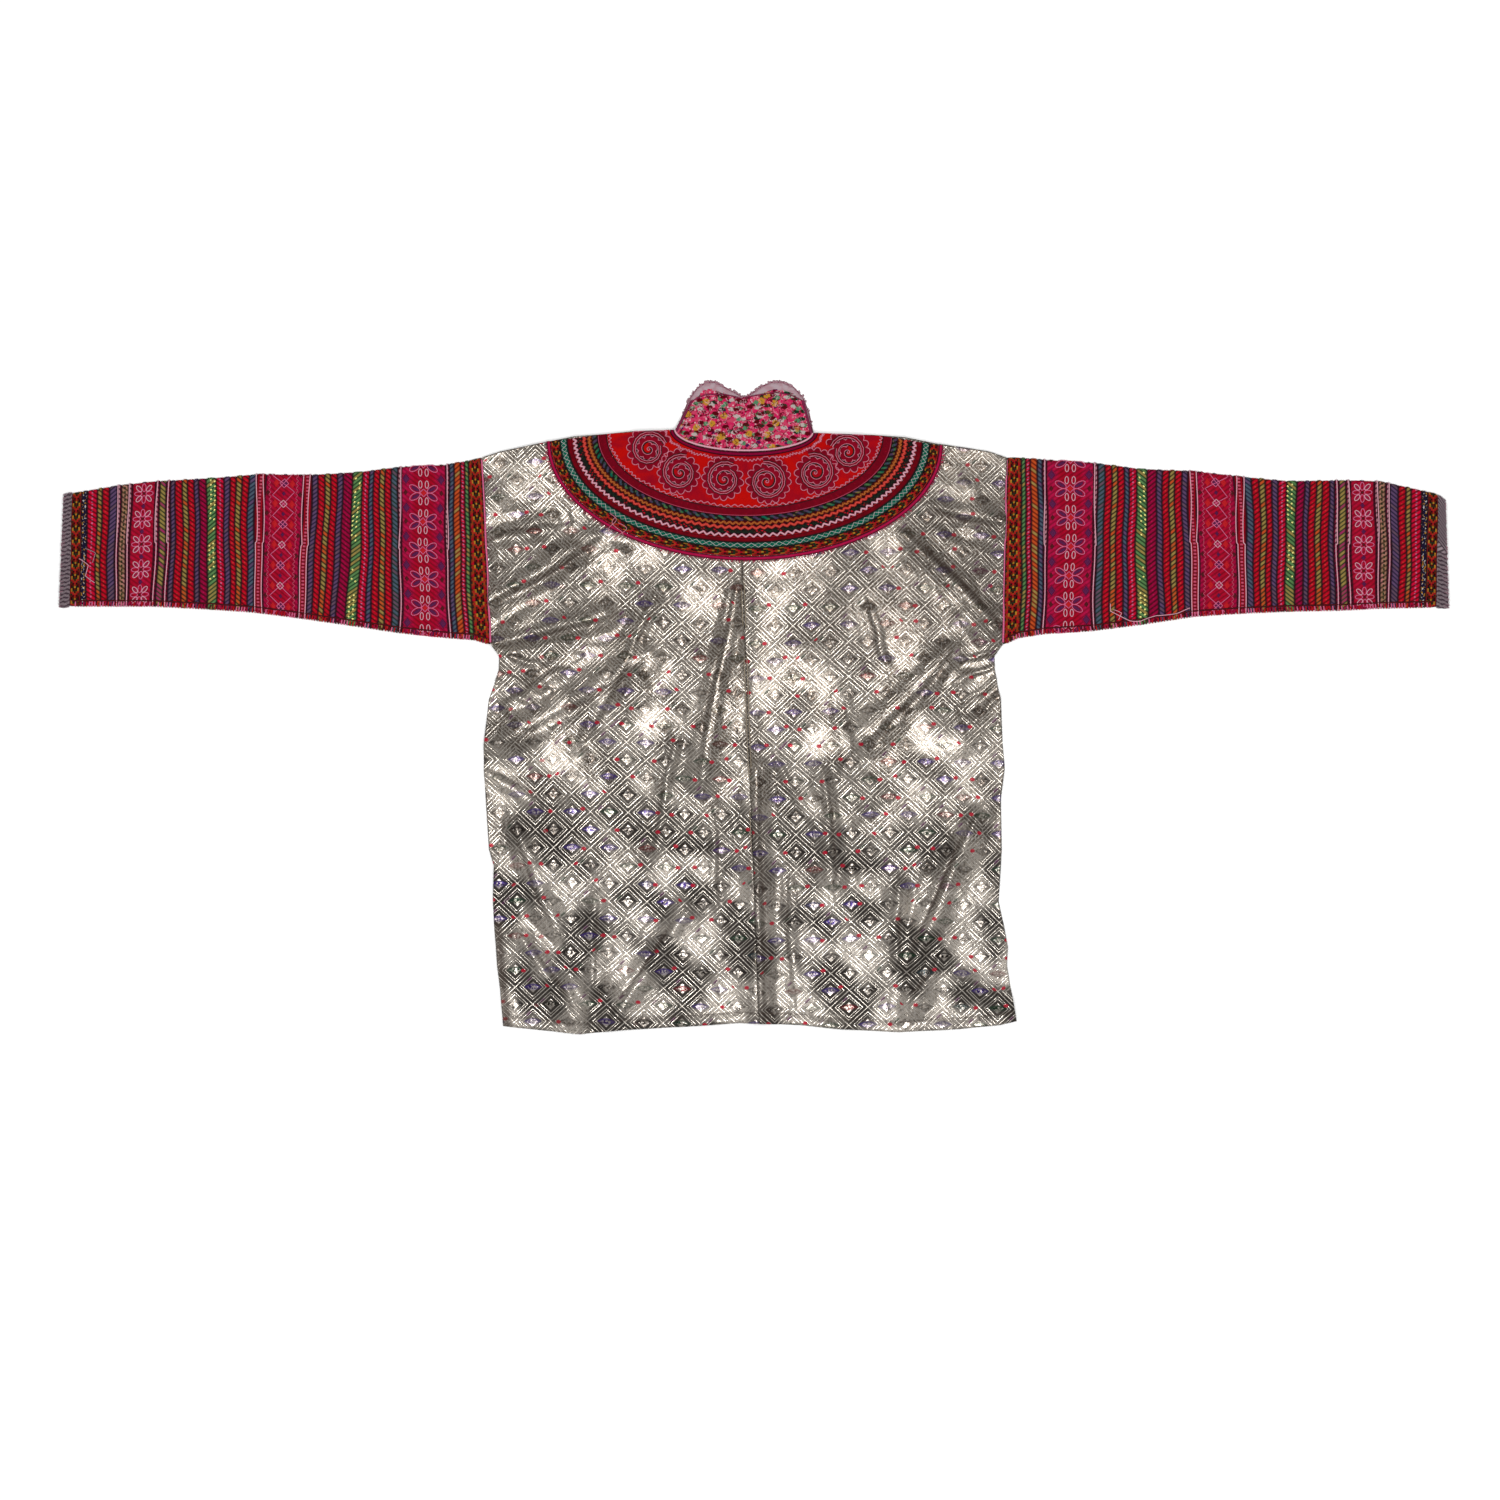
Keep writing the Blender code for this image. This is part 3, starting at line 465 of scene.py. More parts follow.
def fold_height(x, y):
    """Height that the folds of the solids add to the back."""
    height = np.zeros_like(x)
    for fold in FOLDS:
        away, half_width, _t = from_fold(fold, x, y)
        height = np.maximum(height, fold.rise * hump(away / (FOLD_SPREAD * half_width)))
    return height * fold_fade(x, y)


def crease_relief(x, y):
    """Finer ridges, each steep on one side, with a narrow trough at its foot and painted shade along
    that trough.
    """
    height = np.zeros_like(x)
    shade = np.zeros_like(x)
    for number, fold in enumerate(CREASES):
        away, half_width, t = from_fold(fold, x, y)
        side = 1.0 if number % 2 else -1.0
        away = away * side + 1.8 * np.sin(5.0 * t + number) * np.sin(math.pi * t)
        steep = np.where(away > 0.0, STEEP_SIDE * half_width, half_width)
        foot = (away - 1.1 * STEEP_SIDE * half_width) / 2.2
        ends = np.sin(math.pi * np.clip(t, 0.02, 0.98)) ** 0.5
        height += CREASE_SHARE * fold.rise * hump(away / steep)
        height -= TROUGH_SHARE * fold.rise * hump((away - 1.5 * half_width) / half_width)
        height -= 0.5 * ends * np.exp(-foot ** 2)
        shade = np.maximum(shade, 0.14 * fold.rise * ends * np.exp(-foot ** 2))
    fade = soft_step((arc_distance(OUTER_ARC, x, y) - 4.0) / 14.0)
    return height * fade, np.clip(shade, 0.0, 0.9) * fade


def crumple(x, y, size, seed):
    """Even, wandering ripples of about a given size, from -1 to 1."""
    chance = np.random.default_rng(seed)
    total = np.zeros_like(x)
    for _ in range(6):
        angle, phase, drift = chance.uniform(0.0, TURN, 3)
        step = size * chance.uniform(0.7, 1.5)
        bend = 1.4 * np.sin((y * math.cos(angle) - x * math.sin(angle)) / (1.7 * step) + drift)
        total += np.sin(TURN * (x * math.cos(angle) + y * math.sin(angle)) / step + phase + bend)
    return total / 6.0


def body_top(x, y):
    """Height of the back's upper side, as in the solids."""
    under = front_lift(x, y) + BROCADE + LAYER + swell(x, y) + fold_height(x, y)
    return under + BROCADE


def diamond_place(x, y, origin):
    """Place in the brocade pattern, in millimetres from the middle of one diamond."""
    u = x - origin[0] + 1.6 * np.sin(y / 61.0 + 0.7) + 0.9 * np.sin(x / 37.0)
    v = y - origin[1] + 1.6 * np.sin(x / 53.0 + 1.9) + 0.9 * np.sin(y / 41.0)
    return u, v


def diamond_ring(u, v):
    """0 in the middle of a diamond and 0.5 on its border."""
    first = u / DIAMOND_WIDTH + v / DIAMOND_HEIGHT
    second = u / DIAMOND_WIDTH - v / DIAMOND_HEIGHT
    first = np.abs((first + 0.5) % 1.0 - 0.5)
    second = np.abs((second + 0.5) % 1.0 - 0.5)
    return np.maximum(first, second)


class Pile:
    """Gathers the meshes of one piece, with a material and a cloth map for each."""

    def __init__(self):
        self.points = []
        self.faces = []
        self.looks = []
        self.map = []
        self.edges = []
        self.count = 0
        self.names = []

    def look_index(self, look):
        """Number of a material in this piece, added when it is new."""
        if look not in self.names:
            self.names.append(look)
        return self.names.index(look)

    def add(self, points, faces, looks, corners, edges=None):
        """Points in mm, faces of four, a look, a map for each corner, and painted shade for each
        point.
        """
        self.edges.append(np.zeros(len(points)) if edges is None else edges)
        self.points.append(points)
        self.faces.append(faces + self.count)
        if isinstance(looks, str):
            looks = np.full(len(faces), self.look_index(looks))
        self.looks.append(looks)
        self.map.append(corners)
        self.count += len(points)

    def grid(self, points, place, looks, closed=False, edges=None):
        """A sheet of rows and columns; place is its cloth map, with one more column if closed."""
        rows, columns = points.shape[:2]
        index = np.arange(rows * columns).reshape(rows, columns)
        if closed:
            index = np.concatenate([index, index[:, :1]], axis=1)
        faces = np.stack([index[:-1, :-1], index[:-1, 1:], index[1:, 1:], index[1:, :-1]], axis=-1)
        corners = np.stack([place[:-1, :-1], place[:-1, 1:], place[1:, 1:], place[1:, :-1]], axis=2)
        faces = faces.reshape(-1, 4)
        if edges is not None:
            edges = np.broadcast_to(edges, (rows, columns)).ravel()
        self.add(points.reshape(-1, 3), faces, looks, corners.reshape(-1, 2), edges)

    def build(self, name, slot):
        """Makes the piece from all that was added, in metres."""
        points = np.concatenate(self.points) * MM
        faces = np.concatenate(self.faces)
        mesh = bpy.data.meshes.new(name)
        mesh.from_pydata(points.tolist(), [], faces.tolist())
        cloth = mesh.uv_layers.new(name="cloth")
        cloth.uv.foreach_set("vector", np.concatenate(self.map).astype(np.float32).ravel())
        # The painted shade goes to the mesh as an attribute that the materials darken by.
        painted_shade = mesh.attributes.new("painted_shade", "FLOAT", "POINT")
        painted_shade.data.foreach_set("value", np.concatenate(self.edges).astype(np.float32))
        for look in self.names:
            mesh.materials.append(LOOKS[look])
        mesh.polygons.foreach_set("material_index", np.concatenate(self.looks).astype(np.int32))
        mesh.update()
        mesh.shade_smooth()
        piece = bpy.data.objects.new(name, mesh)
        bpy.context.scene.collection.objects.link(piece)
        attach(piece, "root")
        return piece


def add_tube(pile, path, normals, radius, look, sides=5, closed=False, flatten=1.0):
    """A round thread along a path that lies on a surface with the given normals."""
    if closed:
        tangents = np.roll(path, -1, axis=0) - np.roll(path, 1, axis=0)
    else:
        tangents = np.gradient(path, axis=0)
    sideways = np.cross(tangents, normals)
    sideways /= np.linalg.norm(sideways, axis=1, keepdims=True) + 1e-9
    angles = np.arange(sides) * TURN / sides
    radius = np.broadcast_to(radius, len(path))[:, None, None]
    ring = path[:, None, :] + radius * (
        np.cos(angles)[None, :, None] * sideways[:, None, :]
        + flatten * np.sin(angles)[None, :, None] * normals[:, None, :]
    )
    ring[..., 2] = np.maximum(ring[..., 2], 0.0)
    steps = np.linalg.norm(np.diff(path, axis=0), axis=1)
    length = np.concatenate([[0.0], np.cumsum(steps)])
    if closed:
        ring = np.concatenate([ring, ring[:1]])
        length = np.append(length, length[-1] + np.linalg.norm(path[0] - path[-1]))
    round_it = np.linspace(0.0, TURN * float(np.mean(radius)), sides + 1)
    place = np.stack(np.meshgrid(round_it, length), axis=-1)
    pile.grid(ring, place, look, closed=True)


def upward(count):
    """Normals that all point up."""
    return np.tile([0.0, 0.0, 1.0], (count, 1))


def with_lip(points, place, low_z):
    """A sheet with its edge turned down to a lower surface, or up to a higher one."""
    points = np.pad(points, ((1, 1), (1, 1), (0, 0)), mode="edge")
    place = np.pad(place, ((1, 1), (1, 1), (0, 0)), mode="edge")
    low_z = np.pad(low_z, 1, mode="edge")
    for edge in (np.s_[0, :], np.s_[-1, :], np.s_[:, 0], np.s_[:, -1]):
        points[edge + (2,)] = low_z[edge]
    return points, place


def body_grid(left_edge, right_edge, columns, rows):
    """Points of a body panel, as arrays of x and y, with rows from the hem up."""
    u = np.linspace(0.0, 1.0, columns + 1)[None, :]
    v = np.linspace(0.0, 1.0, rows + 1)[:, None]
    y = SIDES[0].y * v + SIDES[-1].y * (1.0 - v) + 0.0 * u
    for _ in range(12):
        x = left_edge(y) * (1.0 - u) + right_edge(y) * u
        y = along(HEM, "x", "y", x) * (1.0 - v) + top_edge(x) * v
    return x, y


class Look:
    """Builds a material's nodes; across and along are the cloth map in millimetres."""

    def __init__(self, name, roughness=0.85, metallic=0.0, specular=0.06):
        self.material = bpy.data.materials.new(name)
        self.material.use_nodes = True
        self.nodes = self.material.node_tree.nodes
        self.links = self.material.node_tree.links
        self.shader = self.nodes["Principled BSDF"]
        self.shader.inputs["Roughness"].default_value = roughness
        self.shader.inputs["Metallic"].default_value = metallic
        self.shader.inputs["Specular IOR Level"].default_value = specular
        cloth_map = self.nodes.new("ShaderNodeUVMap")
        cloth_map.uv_map = "cloth"
        split = self.nodes.new("ShaderNodeSeparateXYZ")
        self.place = cloth_map.outputs["UV"]
        self.links.new(self.place, split.inputs[0])
        self.across, self.along = split.outputs[0], split.outputs[1]

    def put(self, socket, value):
        """Links another output to a socket, or sets its value."""
        if isinstance(value, bpy.types.NodeSocket):
            self.links.new(value, socket)
        else:
            socket.default_value = value

    def math(self, operation, first, second=0.0):
        """One arithmetic step on one or two values."""
        node = self.nodes.new("ShaderNodeMath")
        node.operation = operation
        self.put(node.inputs[0], first)
        self.put(node.inputs[1], second)
        return node.outputs[0]

    def ramp(self, value, low, high, low_out=0.0, high_out=1.0):
        """Smooth change from one output to another while value goes from low to high."""
        node = self.nodes.new("ShaderNodeMapRange")
        node.interpolation_type = "SMOOTHSTEP"
        for socket, number in zip(node.inputs[:5], (value, low, high, low_out, high_out)):
            self.put(socket, number)
        return node.outputs[0]

    def stripe(self, value, at, half_width):
        """1 where value is at a place, falling softly to 0 a half width away."""
        away = self.math("ABSOLUTE", self.math("SUBTRACT", value, at))
        return self.ramp(away, 0.5 * half_width, half_width, 1.0, 0.0)

    def stripes(self, value, rows):
        """The strongest of several stripes, each given by its place and half width."""
        total = self.stripe(value, *rows[0])
        for row in rows[1:]:
            total = self.math("MAXIMUM", total, self.stripe(value, *row))
        return total

    def painted_shade_share(self):
        """Weight of painted shade at each point, as the mesh gives it."""
        node = self.nodes.new("ShaderNodeAttribute")
        node.attribute_name = "painted_shade"
        return node.outputs["Fac"]

    def cells(self, value, size):
        """Place within even cells, from -0.5 to 0.5."""
        moved = self.math("ADD", self.math("DIVIDE", value, size), 0.5)
        return self.math("SUBTRACT", self.math("FRACT", moved), 0.5)

    def cell_number(self, value, size):
        """Whole number of the even cell that a value is in."""
        return self.math("FLOOR", self.math("ADD", self.math("DIVIDE", value, size), 0.5))

    def mix(self, share, first, second):
        """Blend of two colours."""
        node = self.nodes.new("ShaderNodeMix")
        node.data_type = "RGBA"
        self.put(node.inputs[0], share)
        self.put(node.inputs[6], first)
        self.put(node.inputs[7], second)
        return node.outputs[2]

    def noise(self, size, detail=2.0):
        """Soft random patches of about a given size."""
        node = self.nodes.new("ShaderNodeTexNoise")
        node.noise_dimensions = "2D"
        self.put(node.inputs["Vector"], self.place)
        node.inputs["Scale"].default_value = 1.0 / size
        node.inputs["Detail"].default_value = detail
        return node.outputs["Fac"]

    def chance(self, first, second=0.0):
        """An even random number for each pair of whole numbers."""
        join = self.nodes.new("ShaderNodeCombineXYZ")
        self.put(join.inputs[0], first)
        self.put(join.inputs[1], second)
        node = self.nodes.new("ShaderNodeTexWhiteNoise")
        node.noise_dimensions = "2D"
        self.links.new(join.outputs[0], node.inputs["Vector"])
        return node.outputs["Value"]

    def weave(self, pitch):
        """Over and under of plain woven threads."""
        warp = self.math("SINE", self.math("MULTIPLY", self.across, TURN / pitch))
        weft = self.math("SINE", self.math("MULTIPLY", self.along, TURN / pitch))
        return self.math("MULTIPLY", warp, weft)

    def finish(self, colour, height, distance=0.5, strength=0.6):
        """Joins colour and relief, in millimetres, to the shader."""
        self.put(self.shader.inputs["Base Color"], colour)
        bump = self.nodes.new("ShaderNodeBump")
        bump.inputs["Distance"].default_value = distance * MM
        bump.inputs["Strength"].default_value = strength
        self.put(bump.inputs["Height"], height)
        self.links.new(bump.outputs["Normal"], self.shader.inputs["Normal"])
        return self.material


def brocade_look():
    """Pale gold metallic cloth: ringed diamonds, each with an almond eye and coloured ends, with
    painted shade and light over parts of the back.
    """
    look = Look("brocade", roughness=0.17, metallic=0.95, specular=0.2)
    u = look.math("DIVIDE", look.across, DIAMOND_WIDTH)
    v = look.math("DIVIDE", look.along, DIAMOND_HEIGHT)
    first_sum = look.math("ADD", u, v)
    second_sum = look.math("SUBTRACT", u, v)
    first = look.cells(first_sum, 1.0)
    second = look.cells(second_sum, 1.0)
    number = look.chance(look.cell_number(first_sum, 1.0), look.cell_number(second_sum, 1.0))
    ring = look.math("MAXIMUM", look.math("ABSOLUTE", first), look.math("ABSOLUTE", second))
    in_x = look.math("MULTIPLY", look.math("ADD", first, second), 0.5 * DIAMOND_WIDTH)
    in_y = look.math("MULTIPLY", look.math("SUBTRACT", first, second), 0.5 * DIAMOND_HEIGHT)
    wide = look.math("POWER", look.math("DIVIDE", look.math("ABSOLUTE", in_x), 8.0), 1.5)
    tall = look.math("DIVIDE", look.math("ABSOLUTE", in_y), 2.8)
    other = look.chance(look.cell_number(second_sum, 1.0), look.cell_number(first_sum, 1.0))
    spare = look.math("FRACT", look.math("MULTIPLY", look.math("ADD", number, other), 7.31))
    strength = look.math("MULTIPLY", look.ramp(look.noise(55.0, 1.0), 0.36, 0.6, 0.6, 1.0),
                         look.ramp(look.along, 90.0, -60.0, 0.72, 1.0))
    dark_lines = look.stripes(ring, DARK_RINGS)
    dark_lines = look.math("MULTIPLY", dark_lines, strength)
    light_lines = look.stripes(ring, LIGHT_RINGS)
    side = look.ramp(number, 0.49, 0.51, -1.0, 1.0)
    tuft_x = look.math("MULTIPLY", side, look.ramp(other, 0.0, 1.0, 8.0, 15.0))
    tuft_x = look.math("DIVIDE", look.math("SUBTRACT", in_x, tuft_x), 2.9)
    tuft_y = look.math("SUBTRACT", in_y, look.ramp(spare, 0.0, 1.0, -3.5, 3.5))
    tuft_y = look.math("DIVIDE", tuft_y, 2.2)
    tuft = look.math("ADD", look.math("MULTIPLY", tuft_x, tuft_x),
                     look.math("MULTIPLY", tuft_y, tuft_y))
    red_share = look.math("MULTIPLY", look.ramp(tuft, 0.4, 1.0, 1.0, 0.0),
                          look.ramp(spare, 0.34, 0.38))
    strip = look.math("MULTIPLY", look.stripe(second, -0.34, 0.06),
                      look.stripe(look.math("MULTIPLY", first, side), 0.12, 0.15))
    tip_share = look.math("MULTIPLY", strip, look.ramp(other, 0.5, 0.54))
    broad = look.ramp(look.noise(42.0, 4.0), 0.36, 0.64)
    ground = look.mix(broad, BROCADE_TONES["shade"], BROCADE_TONES["body"])
    # Painted shade darkens the upper back and painted light brightens the lower back.
    ground = look.mix(look.ramp(look.along, 20.0, 170.0, 0.0, 0.72), ground,
                      BROCADE_TONES["upper"])
    ground = look.mix(look.ramp(look.along, -10.0, -120.0, 0.0, 0.46), ground,
                      BROCADE_TONES["lower"])
    ground = look.mix(look.ramp(look.noise(1.9, 2.0), 0.52, 0.64, 0.0, 0.7), ground,
                      BROCADE_TONES["spark"])
    ground = look.mix(look.ramp(look.noise(2.3, 3.0), 0.46, 0.34, 0.0, 0.6), ground,
                      BROCADE_TONES["speck"])
    dark = look.mix(look.ramp(number, 0.42, 0.46), tone("eye_brown"), tone("dark_green"))
    dark = look.mix(look.ramp(number, 0.6, 0.62), dark, tone("indigo"))
    dark = look.mix(look.ramp(number, 0.9, 0.92), dark, tone("deep_crimson"))
    almond = look.math("ADD", wide, tall)
    rim = look.stripe(almond, 0.95, 0.42)
    rim = look.math("MULTIPLY", rim, look.ramp(in_y, -1.0, 1.0, 0.6, 1.0))
    inside = look.mix(look.ramp(look.noise(2.4, 1.0), 0.4, 0.6, 0.45, 1.0), ground, dark)
    colour = look.mix(look.ramp(ring, 0.16, 0.2, 0.2, 0.0), ground, tone("eye_brown"))
    colour = look.mix(look.math("MULTIPLY", light_lines, 0.6), colour, BROCADE_TONES["line"])
    colour = look.mix(look.math("MULTIPLY", dark_lines, 0.97), colour, tone("eye_brown"))
    eye_share = look.math("MULTIPLY", look.ramp(almond, 0.7, 0.9, 1.0, 0.0), strength)
    colour = look.mix(eye_share, colour, inside)
    rim = look.math("MULTIPLY", rim, strength)
    colour = look.mix(look.math("MULTIPLY", rim, 0.9), colour, dark)
    colour = look.mix(look.math("MULTIPLY", red_share, 0.94), colour, tone("tuft_red"))
    tip_tone = look.mix(look.ramp(number, 0.4, 0.44), tone("dark_green"), tone("purple"))
    colour = look.mix(look.math("MULTIPLY", tip_share, 0.75), colour, tip_tone)
    # Painted shade in creases, beside the seam and edges, at the hem and over the upper right.
    painted_shade = look.painted_shade_share()
    colour = look.mix(look.ramp(painted_shade, 0.05, 1.0, 0.0, 0.92), colour,
                      BROCADE_TONES["fold"])
    coloured = look.math("MAXIMUM", look.math("MAXIMUM", rim, red_share), tip_share)
    coloured = look.math("MAXIMUM", coloured, look.ramp(almond, 0.7, 0.9, 0.55, 0.0))
    coloured = look.math("MAXIMUM", coloured, dark_lines)
    coloured = look.math("MAXIMUM", coloured, painted_shade)
    look.put(look.shader.inputs["Metallic"], look.ramp(coloured, 0.2, 0.8, 0.95, 0.25))
    look.put(look.shader.inputs["Roughness"], look.ramp(dark_lines, 0.0, 1.0, 0.17, 0.7))
    height = look.math("MULTIPLY", look.math("SUBTRACT", light_lines, dark_lines), 0.5)
    height = look.math("ADD", height, look.math("MULTIPLY", look.noise(1.9, 2.0), 0.42))
    height = look.math("ADD", height, look.math("MULTIPLY", look.noise(7.0, 3.0), 0.9))
    return look.finish(colour, height, 0.5, 0.8)


def ribbon_look(row):
    """One of the narrow ribbons, cords and bands."""
    look = Look(row.name)
    first, second, third = tone(row.first), tone(row.second), tone(row.third)
    if row.pattern in ("twist", "dots", "stitch", "ladder"):
        first, third = bright(row.first), bright(row.third)
    weave = look.weave(1.3)
    patchy = look.math("MULTIPLY", look.noise(14.0), 0.5)
    height = weave
    if row.pattern == "twist":
        lean = look.math("MULTIPLY", look.across, math.copysign(0.75, row.pitch))
        slant = look.math("ADD", look.along, lean)
        strand = look.cells(slant, abs(row.pitch))
        number = look.chance(look.cell_number(slant, abs(row.pitch)))
        colour = look.mix(look.ramp(number, 0.6, 0.62), first, third)
        gap = look.ramp(look.math("ABSOLUTE", strand), 0.2, 0.4)
        colour = look.mix(look.math("MULTIPLY", gap, 0.92), colour, second)
        height = look.math("MULTIPLY", gap, -1.5)
    elif row.pattern == "woven":
        along_it = look.math("ABSOLUTE", look.cells(look.along, row.pitch))
        across_it = look.math("ABSOLUTE", look.math("DIVIDE", look.across, row.pitch))
        ring = look.math("ADD", along_it, across_it)
        number = look.chance(look.cell_number(look.along, row.pitch))
        inner = look.mix(look.ramp(number, 0.4, 0.45), third, tone("crimson"))
        colour = look.mix(look.stripe(ring, 0.42, 0.09), first, second)
        colour = look.mix(look.ramp(ring, 0.2, 0.25, 1.0, 0.0), colour, inner)
        colour = look.mix(look.ramp(ring, 0.06, 0.1, 1.0, 0.0), colour, tone("yellow"))
        colour = look.mix(look.stripe(ring, 0.66, 0.07), colour, tone("black"))
    elif row.pattern == "stitch":
        dash = look.ramp(look.math("ABSOLUTE", look.cells(look.along, row.pitch)), 0.26, 0.34,
                         1.0, 0.0)
        row_of = look.math("MULTIPLY", dash, look.stripe(look.across, 0.0, 1.1))
        colour = look.mix(patchy, first, third)
        colour = look.mix(row_of, colour, second)
        height = look.math("ADD", weave, look.math("MULTIPLY", row_of, 2.0))
    elif row.pattern == "line":
        core = look.stripe(look.across, 0.0, 0.7)
        colour = look.mix(core, first, second)
        height = look.math("ADD", weave, core)
    elif row.pattern == "dots":
        dash = look.stripe(look.cells(look.along, row.pitch), 0.0, 0.22)
        spot = look.math("MULTIPLY", dash, look.stripe(look.across, 0.0, 1.0))
        colour = look.mix(patchy, first, third)
        colour = look.mix(look.math("MULTIPLY", spot, 0.7), colour, second)
    elif row.pattern == "ladder":
        away = look.math("ABSOLUTE", look.across)
        dash = look.stripe(look.cells(look.along, row.pitch), 0.0, 0.36)
        rungs = look.math("MULTIPLY", dash, look.ramp(away, 1.1, 1.6, 1.0, 0.0))
        colour = look.mix(rungs, first, second)
        colour = look.mix(look.stripe(away, 2.4, 0.4), colour, tone("crimson"))
        height = rungs
    elif row.pattern == "band":
        edge = look.ramp(look.math("ABSOLUTE", look.across), 8.0, 18.0)
        colour = look.mix(look.math("MULTIPLY", edge, 0.8), first, third)
        colour = look.mix(patchy, colour, second)
    elif row.pattern == "motif":
        repeat = look.math("FLOORED_MODULO", look.cell_number(look.along, row.pitch), 7.0)
        mirrored = look.math("ABSOLUTE", look.cell_number(look.across, row.pitch))
        spot = look.chance(repeat, mirrored)
        colour = look.mix(look.ramp(spot, 0.3, 0.32), first, tone("crimson"))
        colour = look.mix(look.ramp(spot, 0.48, 0.5), colour, second)
        colour = look.mix(look.ramp(spot, 0.6, 0.62), colour, tone("dark_green"))
        colour = look.mix(look.ramp(spot, 0.7, 0.72), colour, tone("rust"))
        colour = look.mix(look.ramp(spot, 0.92, 0.94), colour, third)
    elif row.pattern == "fleck":
        spot = look.ramp(look.noise(2.0, 1.0), 0.62, 0.68)
        colour = look.mix(spot, first, second)
        colour = look.mix(look.ramp(look.noise(3.0, 1.0), 0.62, 0.66), colour, third)
    else:
        colour = look.mix(patchy, first, second)
        colour = look.mix(look.ramp(look.noise(3.0), 0.62, 0.75, 0.0, 0.5), colour, third)
    if row.pattern in ("dots", "stitch", "band", "line"):
        slope = look.math("ADD", look.along, look.math("MULTIPLY", look.across, 0.7))
        hatch = look.ramp(look.math("ABSOLUTE", look.cells(slope, 4.8)), 0.16, 0.42)
        deep = 0.45 if row.pattern == "band" else 0.85
        colour = look.mix(look.math("MULTIPLY", hatch, deep), colour, tone("black"))
        height = look.math("SUBTRACT", height, hatch)
    wear = look.ramp(look.noise(5.0, 3.0), 0.3, 0.7, 0.0, 0.35)
    colour = look.mix(wear, colour, tuple(0.45 * value for value in first[:3]) + (1.0,))
    # Painted shade in the gaps between ribbons.
    painted_shade = look.painted_shade_share()
    depth = look.ramp(painted_shade, 0.25, 0.8, 0.0, 0.88)
    colour = look.mix(depth, colour, (0.012, 0.004, 0.008, 1.0))
    return look.finish(colour, height, 0.35, 0.7)


def felt_look(name, light, dark):
    """Fulled red cloth with darker, worn zones."""
    look = Look(name, roughness=0.9)
    zones = look.ramp(look.noise(30.0, 4.0), 0.4, 0.75, 0.0, 0.8)
    colour = look.mix(zones, tone(light), tone(dark))
    fibre = look.noise(1.3, 4.0)
    colour = look.mix(look.ramp(fibre, 0.45, 0.8, 0.0, 0.35), colour, tone("deep_crimson"))
    return look.finish(colour, fibre, 0.5, 0.7)


def print_look(name, ground, faded):
    """Pink cotton with small scattered flowers, leaves, sprigs and dots."""
    look = Look(name, roughness=0.85)
    colour = look.mix(look.ramp(look.noise(4.0, 2.0), 0.35, 0.65), tone(ground), tone(faded))
    ragged = look.math("MULTIPLY", look.noise(1.7, 2.0), 0.3)
    for row in PRINT_MARKS:
        stretch = look.nodes.new("ShaderNodeMapping")
        look.put(stretch.inputs["Vector"], look.place)
        stretch.inputs["Location"].default_value = (row.shift, 1.7 * row.shift, 0.0)
        stretch.inputs["Rotation"].default_value = (0.0, 0.0, 0.9 * row.shift)
        stretch.inputs["Scale"].default_value = (1.0 / row.stretch, 1.0, 1.0)
        blots = look.nodes.new("ShaderNodeTexVoronoi")
        blots.voronoi_dimensions = "2D"
        blots.inputs["Scale"].default_value = 1.0 / row.size
        look.links.new(stretch.outputs[0], blots.inputs["Vector"])
        split = look.nodes.new("ShaderNodeSeparateXYZ")
        look.links.new(blots.outputs["Color"], split.inputs[0])
        edge = look.math("ADD", blots.outputs["Distance"], ragged)
        blob = look.ramp(edge, row.reach + 0.1, row.reach + 0.18, 1.0, 0.0)
        chosen = look.ramp(split.outputs[0], row.share - 0.01, row.share + 0.01, 1.0, 0.0)
        colour = look.mix(look.math("MULTIPLY", blob, chosen), colour, tone(row.tint))
    vines = look.stripe(look.noise(9.0, 2.0), 0.5, 0.036)
    colour = look.mix(look.math("MULTIPLY", vines, 0.9), colour, tone("deep_crimson"))
    vines = look.stripe(look.noise(7.0, 3.0), 0.42, 0.02)
    colour = look.mix(look.math("MULTIPLY", vines, 0.7), colour, tone("pale_pink"))
    return look.finish(colour, look.weave(0.9), 0.2, 0.5)


def plain_look(name, light, dark):
    """Faded plain cloth."""
    look = Look(name, roughness=0.9)
    colour = look.mix(look.ramp(look.noise(6.0, 3.0), 0.35, 0.65), tone(light), tone(dark))
    return look.finish(colour, look.weave(0.9), 0.2, 0.5)


def thread_look(name, tint, shade):
    """Twisted sewing or embroidery thread."""
    look = Look(name, roughness=0.65, specular=0.15)
    slant = look.math("ADD", look.math("MULTIPLY", look.along, 4.0), look.across)
    ply = look.math("SINE", slant)
    colour = look.mix(look.ramp(ply, -1.0, 0.2, 0.6, 0.0), tone(tint), tone(shade))
    return look.finish(colour, ply, 0.15, 0.6)


def variegated_look():
    """Cord yarn that changes colour along its length."""
    look = Look("variegated", roughness=0.75)
    number = look.noise(21.0, 2.0)
    colour = look.mix(look.ramp(number, 0.36, 0.4), tone("teal"), tone("green"))
    colour = look.mix(look.ramp(number, 0.43, 0.47), colour, tone("blue"))
    colour = look.mix(look.ramp(number, 0.5, 0.54), colour, tone("violet"))
    colour = look.mix(look.ramp(number, 0.6, 0.64), colour, tone("olive"))
    ply = look.math("SINE", look.math("ADD", look.math("MULTIPLY", look.along, 3.5), look.across))
    return look.finish(colour, ply, 0.2, 0.6)


